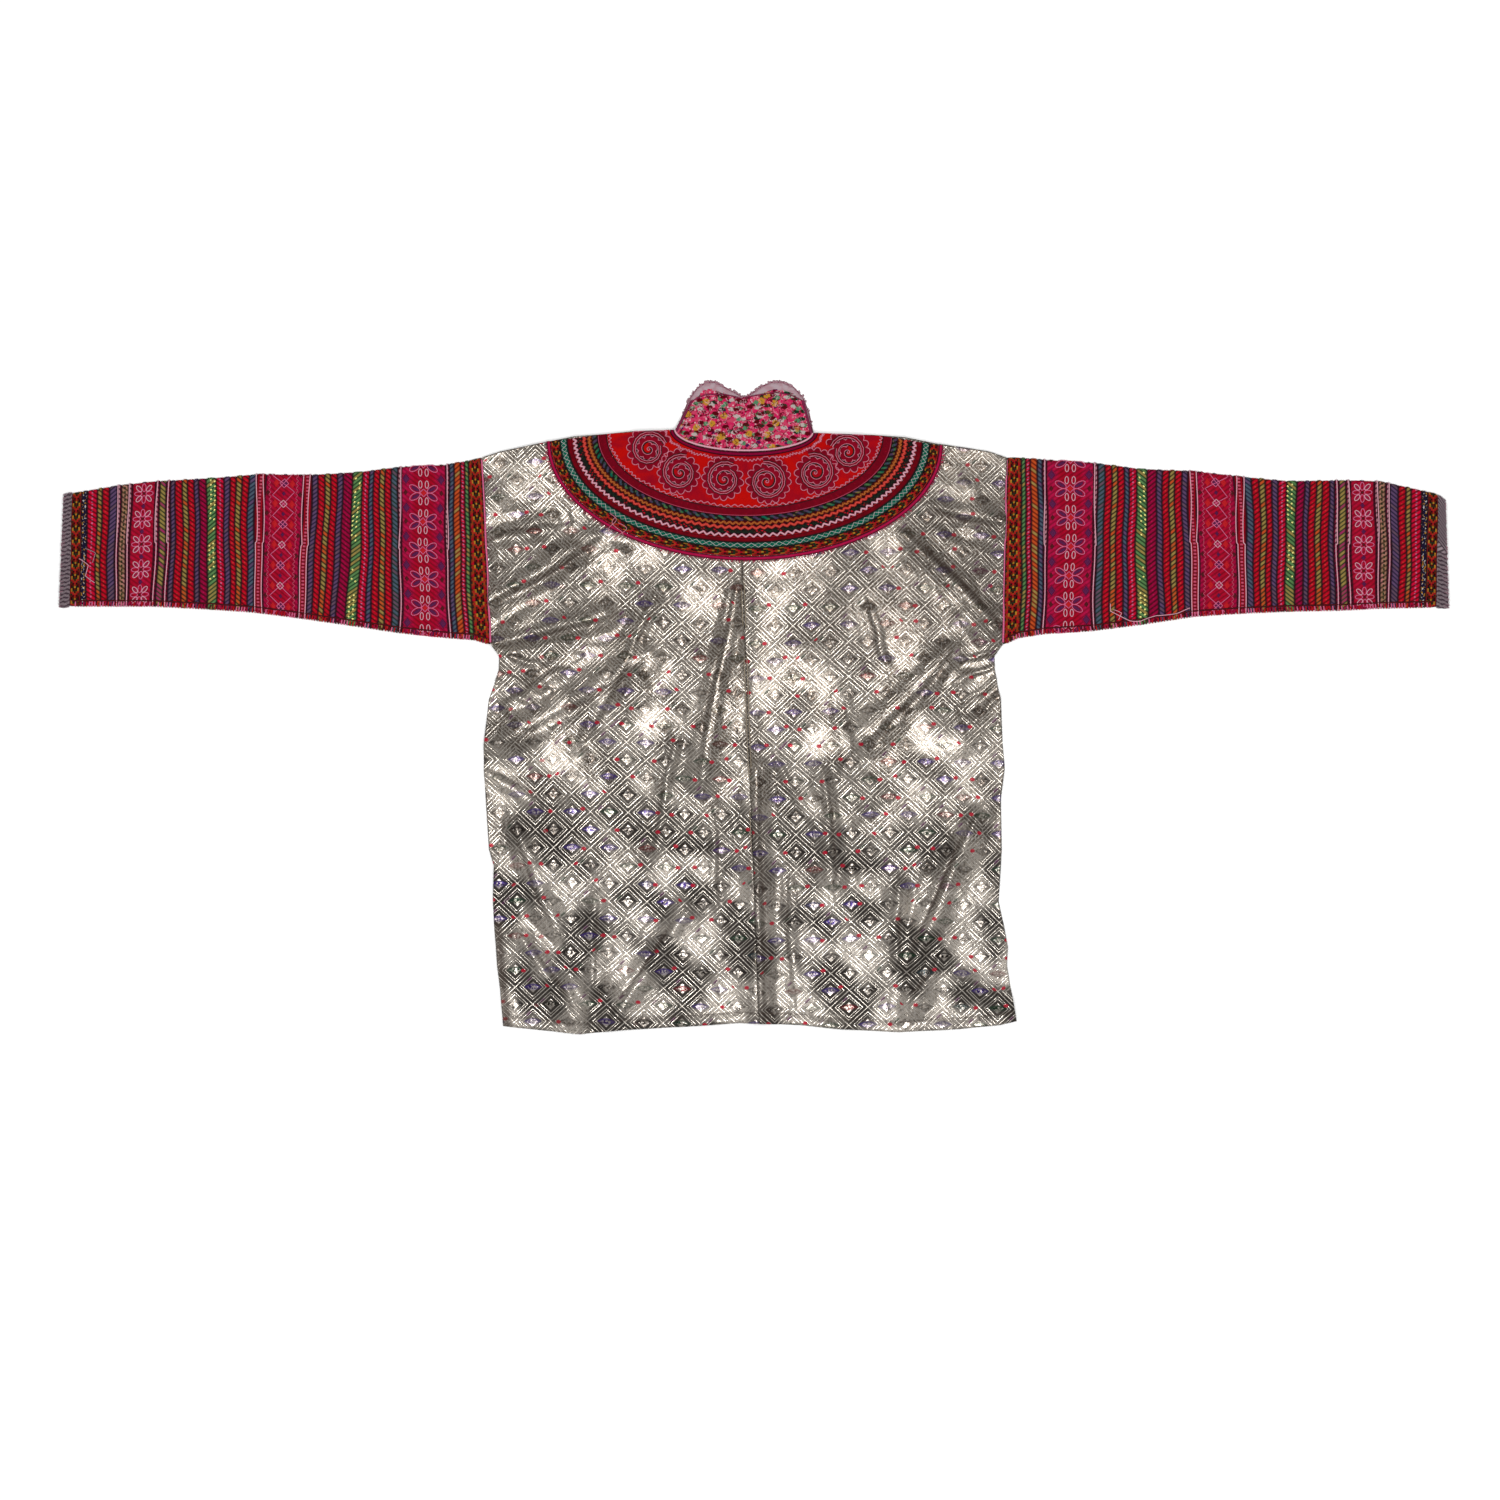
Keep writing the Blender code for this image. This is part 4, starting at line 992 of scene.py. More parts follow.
def sequin_look():
    """Small olive-gold discs."""
    look = Look("sequin", roughness=0.35, metallic=0.3)
    colour = look.mix(look.noise(2.0), (0.62, 0.60, 0.22, 1.0), (0.42, 0.34, 0.08, 1.0))
    return look.finish(colour, look.noise(0.8), 0.1, 0.3)


def floor_look():
    """Plain pale ground for the picture."""
    look = Look("floor", roughness=0.95, specular=0.0)
    colour = look.mix(look.noise(400.0), (0.93, 0.93, 0.93, 1.0), (0.95, 0.95, 0.95, 1.0))
    return look.finish(colour, look.noise(20.0), 0.2, 0.1)


def make_looks():
    """Every material, by name."""
    looks = {"brocade": brocade_look(), "variegated": variegated_look(), "sequin": sequin_look()}
    looks["felt"] = felt_look("felt", "field_red", "strip_crimson")
    looks["applique"] = felt_look("applique", "strip_crimson", "deep_crimson")
    looks["print"] = print_look("print", "hot_pink", "faded_pink")
    looks["print_reverse"] = plain_look("print_reverse", "mauve", "worn_pink")
    for row in RIBBON_LOOKS:
        looks[row.name] = ribbon_look(row)
    for name, tint, shade in (
        ("pink_thread", "pink", "hot_pink"), ("pale_thread", "pale_pink", "pink"),
        ("stone_thread", "stone", "dusk"), ("dusk_thread", "dusk", "black"),
        ("white_thread", "white", "edging"), ("purple_thread", "purple", "deep_crimson"),
        ("crimson_thread", "deep_crimson", "black"), ("red_thread", "red", "crimson"),
        ("magenta_thread", "magenta", "deep_crimson"), ("couch_thread", "couching", "magenta"),
        ("plum_thread", "plum", "deep_crimson"), ("binding_thread", "hot_pink", "magenta"),
        ("worn_thread", "worn_pink", "plum"), ("petal_thread", "petal", "magenta"),
        ("coral_thread", "coral", "red"), ("orange_thread", "orange", "woven_brown"),
        ("dark_thread_and_shadow", "black", "dark_green"), ("champagne_thread", "taupe", "brown"),
    ):
        looks[name] = thread_look(name, tint, shade)
    return looks


def make_stage():
    """Camera straight above, soft lamps round it, and a plain pale floor."""
    data = bpy.data.cameras.new("camera")
    data.sensor_width = 36.0
    data.lens = CAMERA_LENS
    data.clip_end = 50.0
    camera = bpy.data.objects.new("camera", data)
    camera.location = CAMERA_PLACE
    bpy.context.scene.collection.objects.link(camera)
    bpy.context.scene.camera = camera
    for row in LAMPS:
        light = bpy.data.lights.new(row.name, "AREA")
        light.size = row.size
        light.energy = row.power
        lamp = bpy.data.objects.new(row.name, light)
        lamp.location = (row.x, row.y, row.z)
        reach = math.hypot(row.x, row.y)
        lamp.rotation_euler = (0.0, math.atan2(reach, row.z), math.atan2(row.y, row.x))
        bpy.context.scene.collection.objects.link(lamp)
    world = bpy.data.worlds.new("studio")
    world.use_nodes = True
    world.node_tree.nodes["Background"].inputs["Color"].default_value = (1.0, 1.0, 1.0, 1.0)
    world.node_tree.nodes["Background"].inputs["Strength"].default_value = WORLD_LIGHT
    bpy.context.scene.world = world
    bpy.context.scene.view_settings.view_transform = "Standard"
    half = 0.5 * FLOOR_SIZE
    mesh = bpy.data.meshes.new("floor")
    corners = [(-half, -half), (half, -half), (half, half), (-half, half)]
    mesh.from_pydata([(x, y, FLOOR_Z * MM) for x, y in corners], [], [(0, 1, 2, 3)])
    cloth = mesh.uv_layers.new(name="cloth")
    for loop, (x, y) in zip(cloth.uv, corners):
        loop.vector = (x / MM, y / MM)
    mesh.materials.append(floor_look())
    floor = bpy.data.objects.new("floor", mesh)
    bpy.context.scene.collection.objects.link(floor)
    floor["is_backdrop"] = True


def make_backs():
    """Back halves: folds, creases and puffed diamonds, with a turned hem, and painted shade along
    creases, seam, edge and hem and over the upper right.
    """
    pieces = []
    for name, origin, first, last in (
        ("back_left", DIAMOND_LEFT, left_side, lambda y: centre_back(y) - 0.5 * SEAM),
        ("back_right", DIAMOND_RIGHT, lambda y: centre_back(y) + 0.5 * SEAM, right_side),
    ):
        x, y = body_grid(first, last, *BACK_GRID)
        u, v = diamond_place(x, y, origin)
        base = body_top(x, y)
        clear = soft_step((arc_distance(OUTER_ARC, x, y) + 6.0) / 10.0)
        puff = PUFF * np.cos(TURN * 2.0 * diamond_ring(u, v))
        small = 0.7 * crumple(x, y, 21.0, 3) + 0.22 * crumple(x, y, 9.0, 5)
        wide = 3.4 * crumple(x, y, 50.0, 8) + 2.2 * crumple(x, y, 92.0, 9)
        from_seam = np.abs(x - centre_back(y))
        seam_dip = -0.8 * np.exp(-(from_seam / 3.0) ** 2)
        seam_dip += 0.5 * np.exp(-((from_seam - 6.0) / 4.0) ** 2)
        from_hem = y - along(HEM, "x", "y", x)
        hem_roll = 1.0 * hump((from_hem - 4.0) / 5.0) - 0.6 * hump((from_hem - 10.0) / 2.5)
        creases, shade = crease_relief(x, y)
        low = soft_step((-50.0 - y) / 60.0)
        # Painted shadow beside the centre back seam low down, and along the lower left edge.
        seam_shadow = 0.5 * low * hump((x - centre_back(y) - 6.0) / 15.0)
        edge_shadow = 0.8 * soft_step((-196.0 - y) / 16.0) * hump((x - left_side(y) - 4.0) / 9.0)
        shade = np.maximum(shade, np.maximum(seam_shadow, edge_shadow))
        # Painted shade at the foot of the hem's roll.
        shade = np.maximum(shade, 0.8 * np.exp(-((from_hem - 10.0) / 1.3) ** 2))
        # Painted shade over the upper right of the back.
        upper_shade_rise = soft_step((y - UPPER_RIGHT_SHADE_Y[0]) / UPPER_RIGHT_SHADE_Y[1])
        upper_right_shade = UPPER_RIGHT_SHADE_SHARE * upper_shade_rise * soft_step((x - UPPER_RIGHT_SHADE_X[0]) / UPPER_RIGHT_SHADE_X[1])
        shade = shade + upper_right_shade * (1.0 - shade)
        detail = creases + puff + small + wide + seam_dip + hem_roll
        z = base + detail * clear
        z = np.maximum(z, front_lift(x, y) + BROCADE + 0.4)
        points, place = with_lip(
            np.stack([x, y, z], axis=-1), np.stack([u, v], axis=-1), base - BROCADE)
        pile = Pile()
        pile.grid(points, place, "brocade", edges=np.pad(shade, 1, mode="edge"))
        piece = pile.build(name + "_cloth", "brocade")
        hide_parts(name)
        pieces.append(piece)
    return pieces


def make_fronts():
    """Front panels, seen from below: flat where they lie, with shallow creases."""
    pieces = []
    for name, origin, first, last in (
        ("front_left", DIAMOND_RIGHT, left_side, lambda y: opening_edge(-1) + 0 * y),
        ("front_right", DIAMOND_LEFT, lambda y: opening_edge(1) + 0 * y, right_side),
    ):
        x, y = body_grid(first, last, *FRONT_GRID)
        u, v = diamond_place(x, y, origin)
        soft = 0.25 * (1.0 - np.cos(TURN * 2.0 * diamond_ring(u, v)))
        soft += 0.35 * (1.0 + crumple(x, y, 44.0, 12)) + 0.2 * (1.0 + crumple(x, y, 15.0, 14))
        z = front_lift(x, y) + 0.05 + 0.6 * soft
        points, place = with_lip(
            np.stack([x, y, z], axis=-1), np.stack([u, v], axis=-1), front_lift(x, y) + BROCADE)
        pile = Pile()
        pile.grid(points[:, ::-1], place[:, ::-1], "brocade")
        piece = pile.build(name + "_cloth", "brocade")
        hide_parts(name)
        pieces.append(piece)
    return pieces


def on_yoke(turn, share, lift, rails):
    """Points and normals on the back yoke: share goes from the outer rail to the inner."""
    (outer_x, outer_y), (inner_x, inner_y) = rails(turn)
    x = outer_x + (inner_x - outer_x) * share
    y = outer_y + (inner_y - outer_y) * share
    z = body_top(x, y) + SEAM + YOKE_CLOTH + lift
    normals = np.zeros(x.shape + (3,))
    normals[..., 2] = 1.0
    return np.stack([x, y, z], axis=-1), normals


def ribbon_rails(turn):
    """Outer and inner edge of the ribbon ring."""
    return arc_point(OUTER_ARC, turn, -BINDING - SEAM), arc_point(FIELD_ARC, turn)


def field_rails(turn):
    """Outer and inner edge of the red field."""
    return arc_point(FIELD_ARC, turn, -SEAM), arc_point(NECK_ARC, turn, BINDING + 2.0 * SEAM)


def outer_binding_rails(turn):
    """Edges of the strip round the yoke."""
    return arc_point(OUTER_ARC, turn), arc_point(OUTER_ARC, turn, -BINDING)


def neck_binding_rails(turn):
    """Edges of the strip round the neck."""
    return arc_point(NECK_ARC, turn, BINDING + SEAM), arc_point(NECK_ARC, turn, SEAM)


def ribbon_steps(ribbons, step):
    """Steps across a row of ribbons: share, place in the ribbon, rise and nearness to a gap between
    ribbons, used as painted shade.
    """
    total = sum(ribbon.width for ribbon in ribbons)
    shares, places, rises, painted_shades = [], [], [], []
    start = 0.0
    for ribbon in ribbons:
        count = max(3, int(round(ribbon.width / step)))
        t = np.linspace(0.0, 1.0, count + 1)
        shares.append((start + ribbon.width * t) / total)
        places.append((t - 0.5) * ribbon.width)
        dome = np.sqrt(np.clip(1.0 - (2.0 * t - 1.0) ** 2, 0.0, 1.0))
        painted_shades.append(np.exp(-np.minimum(t, 1.0 - t) * ribbon.width / 1.4))
        rises.append(ribbon.rise * dome - 0.35 * (1.0 - dome) ** 2)
        start += ribbon.width
    return shares, places, rises, painted_shades


def yoke_length(turn):
    """Rough length along the yoke, for patterns."""
    return YOKE_LENGTH * turn


def add_yoke_strip(pile, rails, ribbons, looks, step, spans, lift=0.0):
    """Ribbons side by side on the back yoke."""
    turns = np.linspace(0.0, 1.0, spans + 1)
    for look, share, place, rise, painted_shade in zip(looks, *ribbon_steps(ribbons, step)):
        turn_grid, share_grid = np.meshgrid(turns, share, indexing="ij")
        wobble = 0.12 * crumple(yoke_length(turn_grid), share_grid * 60.0, 11.0, 21)
        points, _normals = on_yoke(turn_grid, share_grid, rise[None, :] + wobble + lift, rails)
        cloth = np.stack(np.meshgrid(place, yoke_length(turns)), axis=-1)
        pile.grid(points, cloth, look, edges=painted_shade[None, :])


def add_skirt(pile, rails, share, look, spans):
    """The turned-down edge of a yoke strip, from its top to the cloth below."""
    turns = np.linspace(0.0, 1.0, spans + 1)
    top, _normals = on_yoke(turns, share, 0.0, rails)
    low = top.copy()
    low[:, 2] -= YOKE_CLOTH + SEAM
    points = np.stack([top, low], axis=1)
    cloth = np.stack(np.meshgrid([0.0, 2.0], yoke_length(turns)), axis=-1)
    pile.grid(points, cloth, look)


def make_yoke():
    """Cloth of the back yoke: ribbons, red field and the two strips."""
    pieces = {}
    ring = Pile()
    looks = [YOKE_LOOKS[ribbon.name] for ribbon in YOKE_RIBBONS]
    add_yoke_strip(ring, ribbon_rails, YOKE_RIBBONS, looks, 1.0, YOKE_SPANS)
    add_skirt(ring, ribbon_rails, 0.0, "woven_gold", YOKE_SPANS)
    add_skirt(ring, ribbon_rails, 1.0, "crimson_pink", YOKE_SPANS)
    pieces["ribbons"] = ring.build("yoke_ribbons_cloth", "yoke_ribbon")
    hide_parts("yoke_ribbons")

    field = Pile()
    add_yoke_strip(field, field_rails, [Ribbon("field", 50, 0.25)], ["felt"], 1.6, YOKE_SPANS)
    add_skirt(field, field_rails, 0.0, "felt", YOKE_SPANS)
    add_skirt(field, field_rails, 1.0, "felt", YOKE_SPANS)
    pieces["field"] = field.build("yoke_field_cloth", "yoke_red")
    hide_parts("yoke_field")

    for key, node, rails, slot in (
        ("outer", "yoke_binding", outer_binding_rails, "pink_binding"),
        ("neck", "neck_binding", neck_binding_rails, "dark_binding"),
    ):
        strip = Pile()
        add_yoke_strip(strip, rails, [Ribbon("strip", 4.0, 0.7)], [slot], 0.6, YOKE_SPANS)
        add_skirt(strip, rails, 0.0, slot, YOKE_SPANS)
        add_skirt(strip, rails, 1.0, slot, YOKE_SPANS)
        pieces[key] = strip.build(node + "_strip", slot)
        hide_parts(node)
    return pieces


def yoke_share(name, t=0.5):
    """Share across the ribbon ring at a place in the named ribbon."""
    total = sum(ribbon.width for ribbon in YOKE_RIBBONS)
    start = 0.0
    for ribbon in YOKE_RIBBONS:
        if ribbon.name == name:
            return (start + t * ribbon.width) / total
        start += ribbon.width
    raise ValueError(name)


def triangle_wave(t):
    """Zigzag from -1 to 1 with period 1."""
    return 4.0 * np.abs((t + 0.25) % 1.0 - 0.5) - 1.0


YokeZigzag = namedtuple("YokeZigzag", "ribbon swing period phase lift radius look")
YOKE_ZIGZAGS = [
    YokeZigzag("teal_rickrack", 0.046, 10.6, 0.0, 1.15, 0.24, "white_thread"),
    YokeZigzag("teal_rickrack", 0.046, 10.6, 0.5, 1.15, 0.12, "white_thread"),
    YokeZigzag("white_rickrack", 0.032, 6.3, 0.0, 1.3, 0.95, "pale_thread"),
    YokeZigzag("coral", 0.026, 6.6, 0.2, 1.2, 1.35, "coral_thread"),
    YokeZigzag("orange", 0.026, 5.4, 0.4, 0.9, 1.15, "orange_thread"),
    YokeZigzag("dark_stitch", 0.026, 4.4, 0.1, 0.8, 0.6, "dark_thread_and_shadow"),
]


def add_fuzz(pile, chance):
    """Short loose fibres along the yoke's outer edge, and a few long ends at its pucker."""
    for turn in np.linspace(0.004, 0.996, 300):
        turn = turn + chance.uniform(-0.0015, 0.0015)
        reach = chance.uniform(0.6, 2.6)
        x, y = arc_point(OUTER_ARC, turn, np.linspace(-1.4, reach, 4))
        x = x + np.linspace(0.0, chance.uniform(-1.3, 1.3), 4)
        z = body_top(x, y) + np.linspace(SEAM + YOKE_CLOTH + 0.4, 0.6, 4)
        path = np.stack([x, y, z], axis=-1)
        add_tube(pile, path, upward(4), 0.34, "binding_thread", 3)
    for start_x, start_y, bend in ((-141.0, 190.0, 5.0), (-136.0, 186.0, -4.0), (-133.0, 181.0, 7.0)):
        t = np.linspace(0.0, 1.0, 24)
        x = start_x + bend * np.sin(5.0 * t) + 4.0 * t
        y = start_y - 17.0 * t
        z = body_top(x, y) + SEAM + YOKE_CLOTH + 1.5
        path = np.stack([x, y, z], axis=-1)
        add_tube(pile, path, upward(24), 0.4, "petal_thread", 4)


def make_yoke_trim():
    """Rickrack, cords and couched lines of the back yoke, and the frayed edge of its binding."""
    pile = Pile()
    chance = np.random.default_rng(11)
    turns = np.linspace(*CORD_SPAN, CORD_STEPS)
    length = yoke_length(turns)
    for row in YOKE_ZIGZAGS:
        swing = row.swing * triangle_wave(length / row.period + row.phase)
        path, normals = on_yoke(turns, yoke_share(row.ribbon) + swing, row.lift, ribbon_rails)
        add_tube(pile, path, normals, row.radius, row.look, 4)
    for ply, look in ((0.0, "variegated"), (0.5, "dark_thread_and_shadow")):
        angle = TURN * (length / 8.0 + ply)
        offset = 0.024 * np.cos(angle)
        path, normals = on_yoke(
            turns, yoke_share("twisted_cord") + offset, 1.1 + 0.9 * np.sin(angle), ribbon_rails)
        add_tube(pile, path, normals, 1.3 if ply == 0.0 else 0.9, look, 6)
    for name, t, look in (
        ("teal_rickrack", 0.0, "dark_thread_and_shadow"), ("teal_rickrack", 1.0, "dark_thread_and_shadow"),
        ("crimson", 1.0, "red_thread"), ("coral", 0.0, "dark_thread_and_shadow"),
        ("orange", 1.0, "crimson_thread"), ("woven_gold", 0.06, "red_thread"),
        ("crimson_wide", 0.12, "couch_thread"),
    ):
        path, normals = on_yoke(turns, yoke_share(name, t), 0.15, ribbon_rails)
        add_tube(pile, path, normals, 0.45, look, 3)
    for share, reach in ((0.03, 0.018), (0.93, 0.02)):
        wander = reach * np.sin(TURN * length / 7.0) + 0.6 * reach * np.sin(length / 5.3)
        path, normals = on_yoke(turns, share + wander, 0.6, field_rails)
        add_tube(pile, path, normals, 0.5, "petal_thread", 4)
    add_fuzz(pile, chance)
    return pile.build("yoke_cords", "yoke_ribbon")


def make_spirals():
    """Coiled strips with a scalloped outer edge and pale couched outlines, and dark threads as
    painted shadow.
    """
    pieces = []
    for number, (spiral, growth) in enumerate(zip(SPIRALS, SPIRAL_GROWTH), start=1):
        pile = Pile()
        t = np.linspace(0.0, 1.0, 400)
        turned = t * SPIRAL_TURNS
        angle = math.radians(spiral.start_angle) + spiral.turn * turned * TURN
        rim = growth * spiral.radius - 0.5 * SPIRAL_WIDTH
        middle = rim + (SPIRAL_CORE - rim) * t
        half = 0.5 * SPIRAL_WIDTH * (1.0 - SPIRAL_TAPER * t)
        steps = np.hypot(np.gradient(middle), middle * np.gradient(angle))
        length = np.cumsum(steps)
        petals = 0.3 + 0.7 * np.abs(np.sin(math.pi * length / SCALLOP)) ** 0.6
        reach = SCALLOP_REACH + SCALLOP_GROWTH * turned
        reach = reach + (SCALLOP_INNER - reach) * soft_step((turned - 0.95) / 0.1)
        outer = half - 1.2 + (reach + 1.2) * petals

        def ring_path(radius, lift):
            x = spiral.x + radius * np.cos(angle)
            y = spiral.y + radius * np.sin(angle)
            y = np.minimum(y, top_edge(x) - 0.6)
            z = body_top(x, y) + SEAM + YOKE_CLOTH + lift
            return np.stack([x, y, z], axis=-1)

        rows = [
            ring_path(middle + offset, SEAM + lift)
            for offset, lift in (
                (-half, 0.0), (-0.85 * half, 0.8), (0.2 * half, 1.1), (0.55 * outer, 1.0),
                (0.92 * outer, 0.6), (outer, 0.0),
            )
        ]
        points = np.stack(rows, axis=1)
        cloth = np.stack(np.meshgrid(np.linspace(-2.0, 4.0, len(rows)), length), axis=-1)
        pile.grid(points, cloth, "applique")
        normals = upward(len(t))
        add_tube(pile, ring_path(middle + outer, 1.1), normals, 0.44, "petal_thread", 4)
        add_tube(pile, ring_path(middle - half, 1.0), normals, 0.42, "petal_thread", 4)
        base = (middle + 0.1 * half + 0.8 * (1.0 - petals))
        first_turn = int(len(t) / SPIRAL_TURNS)
        # On the first turn a pale line at the petals' base, and a dark thread beside it as a painted
        # shadow.
        for offset, look in ((0.0, "petal_thread"), (0.9, "dark_thread_and_shadow")):
            path = ring_path(base + offset, 1.4)[:first_turn]
            add_tube(pile, path, normals[:first_turn], 0.36, look, 4)
        # A dark thread inside the inner edge as painted shade in the gap between turns.
        add_tube(pile, ring_path(middle - half - 0.85, 0.8), normals, 0.85, "dark_thread_and_shadow", 4)
        core = np.linspace(0.0, 1.0, 60)
        bend = angle[-1] + spiral.turn * core * TURN
        radius = 1.9 * (1.0 - 0.75 * core)
        x = spiral.x + radius * np.cos(bend)
        y = spiral.y + radius * np.sin(bend)
        curl = np.stack([x, y, body_top(x, y) + SEAM + YOKE_CLOTH + 0.9], axis=-1)
        add_tube(pile, curl, normals[: len(core)], 0.4, "petal_thread", 5)
        piece = pile.build(f"spiral_{number}_strip", "applique")
        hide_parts(f"spiral_{number}")
        pieces.append(piece)
    return pieces


def make_front_yokes():
    """Front halves of the yoke, ribboned like the back and seen from below."""
    pieces = []
    widths = [Ribbon("binding", 4.0, 0.2)] + YOKE_RIBBONS + [Ribbon("field", 50.0, 0.1)]
    looks = ["pink_binding"] + [YOKE_LOOKS[ribbon.name] for ribbon in YOKE_RIBBONS] + ["felt"]
    for name, first, last in (("yoke_front_left", 0.0, 0.5), ("yoke_front_right", 0.5, 1.0)):
        pile = Pile()
        turns = np.linspace(first, last, 131)
        steps = ribbon_steps(widths, 1.4)
        outer_x, outer_y = arc_point(OUTER_ARC, turns)
        inner_x, inner_y = arc_point(NECK_ARC, turns, SEAM)
        for look, share, place, rise, painted_shade in zip(looks, *steps):
            x = outer_x[:, None] + (inner_x - outer_x)[:, None] * share
            y = outer_y[:, None] + (inner_y - outer_y)[:, None] * share
            limit = opening_edge(-1 if first == 0.0 else 1)
            x = np.minimum(x, limit) if first == 0.0 else np.maximum(x, limit)
            z = 0.45 - 0.5 * rise[None, :] + 0.0 * x
            cloth = np.stack(np.meshgrid(place, yoke_length(turns)), axis=-1)
            points = np.stack([x, y, np.maximum(z, 0.02)], axis=-1)
            pile.grid(points[:, ::-1], cloth[:, ::-1], look, edges=painted_shade[None, ::-1])
        for across_x, across_y in ((outer_x, outer_y), (inner_x, inner_y)):
            low = np.stack([across_x, across_y, 0.0 * across_x + 0.45], axis=-1)
            high = low + [0.0, 0.0, YOKE_CLOTH - 0.45]
            cloth = np.stack(np.meshgrid([0.0, 2.0], yoke_length(turns)), axis=-1)
            pile.grid(np.stack([low, high], axis=1), cloth, "pink_binding")
        piece = pile.build(name + "_cloth", "yoke_red")
        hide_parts(name)
        pieces.append(piece)
    return pieces


def collar_points(table, turns, heights, columns, rows):
    """Upper side of a collar piece, from the neck arc up to its top edge."""
    share = np.linspace(0.0, 1.0, columns + 1)[None, :]
    level = np.linspace(0.0, 1.0, rows + 1)[:, None]
    foot_x, foot_y = arc_point(NECK_ARC, turns[0] + (turns[1] - turns[0]) * share, -SEAM)
    head_x = table[0].x + (table[-1].x - table[0].x) * share
    head_y = along(table, "x", "y", head_x)
    x = foot_x + (head_x - foot_x) * level
    y = foot_y + (head_y - foot_y) * level
    z = heights[0] + (heights[1] - heights[0]) * soft_step(level) + COLLAR_CLOTH + 0.0 * x
    return x, y, z


def add_frayed_edge(pile, x, y, z):
    """Loose fibres and worn tufts along the top of a front collar piece."""
    chance = np.random.default_rng(17)
    for _ in range(110):
        place = chance.integers(0, len(x))
        reach = chance.uniform(0.5, 2.4)
        drift = chance.uniform(-2.0, 2.0)
        t = np.linspace(0.0, 1.0, 4)
        path = np.stack([x[place] + drift * t, y[place] - 1.6 + (1.0 + reach) * t,
                         z[place] + 0.5 - 0.6 * t], axis=-1)
        add_tube(pile, path, upward(4), chance.uniform(0.35, 0.8),
                 "worn_thread", 4)


def make_collar():
    """Stand collar: the back piece over the two front ones, each with piped edges."""
    neck_x, neck_y = NECK_ARC.centre_x, NECK_ARC.left_y - NECK_ARC.depth
    seat = float(body_top(np.array([neck_x]), np.array([neck_y]))[0]) - BROCADE
    pieces = []
    for node, table, turns, heights in (
        ("collar_back", COLLAR_BACK_TOP, (0.02, 0.98), (seat, COLLAR_CLOTH + LAYER)),
        ("collar_front_left", COLLAR_LEFT_TOP, (0.0, 0.5), (0.0, 0.0)),
        ("collar_front_right", COLLAR_RIGHT_TOP, (0.5, 1.0), (0.0, 0.0)),
    ):
        x, y, z = collar_points(table, turns, heights, COLLAR_COLUMNS, COLLAR_ROWS)
        level = np.linspace(0.0, 1.0, COLLAR_ROWS + 1)[:, None]
        ease = np.sin(math.pi * level)
        under = z - COLLAR_CLOTH + 0.05
        z = z + (0.5 * crumple(x, y, 23.0, 31) + 0.2 * crumple(x, y, 9.0, 33)) * ease
        points, place = with_lip(np.stack([x, y, z], axis=-1), np.stack([x, y], axis=-1), under)
        pile = Pile()
        worn = (pile.look_index("print"), pile.look_index("print_reverse"))
        middle = points[:-1, :-1]
        limit = np.interp(middle[..., 0], [row.x for row in table], [row.y for row in table])
        ragged = WORN_REACH + 1.8 * crumple(middle[..., 0], middle[..., 1], 8.0, 51)
        faded = (middle[..., 1] > limit - ragged) & (node != "collar_back")
        pile.grid(points, place, np.where(faded, worn[1], worn[0]).ravel())
        if node != "collar_back":
            low = points[:, ::-1].copy()
            low[..., 2] = 0.06
            pile.grid(low, place[:, ::-1], "print")
        normals = upward(COLLAR_COLUMNS + 1)
        top = np.stack([x[-1], y[-1] - 0.8, z[-1] + 0.2], axis=-1)
        add_tube(pile, top, normals, 0.5, "plum_thread", 6)
        for column, inward in ((0, 1.2), (-1, -1.2)):
            edge = np.stack([x[:, column] + inward, y[:, column], z[:, column] + 0.1], axis=-1)
            add_tube(pile, edge, upward(COLLAR_ROWS + 1), 1.3, "plum_thread", 6, flatten=0.5)
        if node != "collar_back":
            add_frayed_edge(pile, x[-1], y[-1], z[-1])
        if node == "collar_back":
            foot = np.stack([x[0], y[0] + 1.2, z[0] + 0.3], axis=-1)
            add_tube(pile, foot, normals, 1.0, "pale_thread", 6)
        piece = pile.build(node + "_cloth", "collar_print")
        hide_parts(node)
        pieces.append(piece)
    return pieces


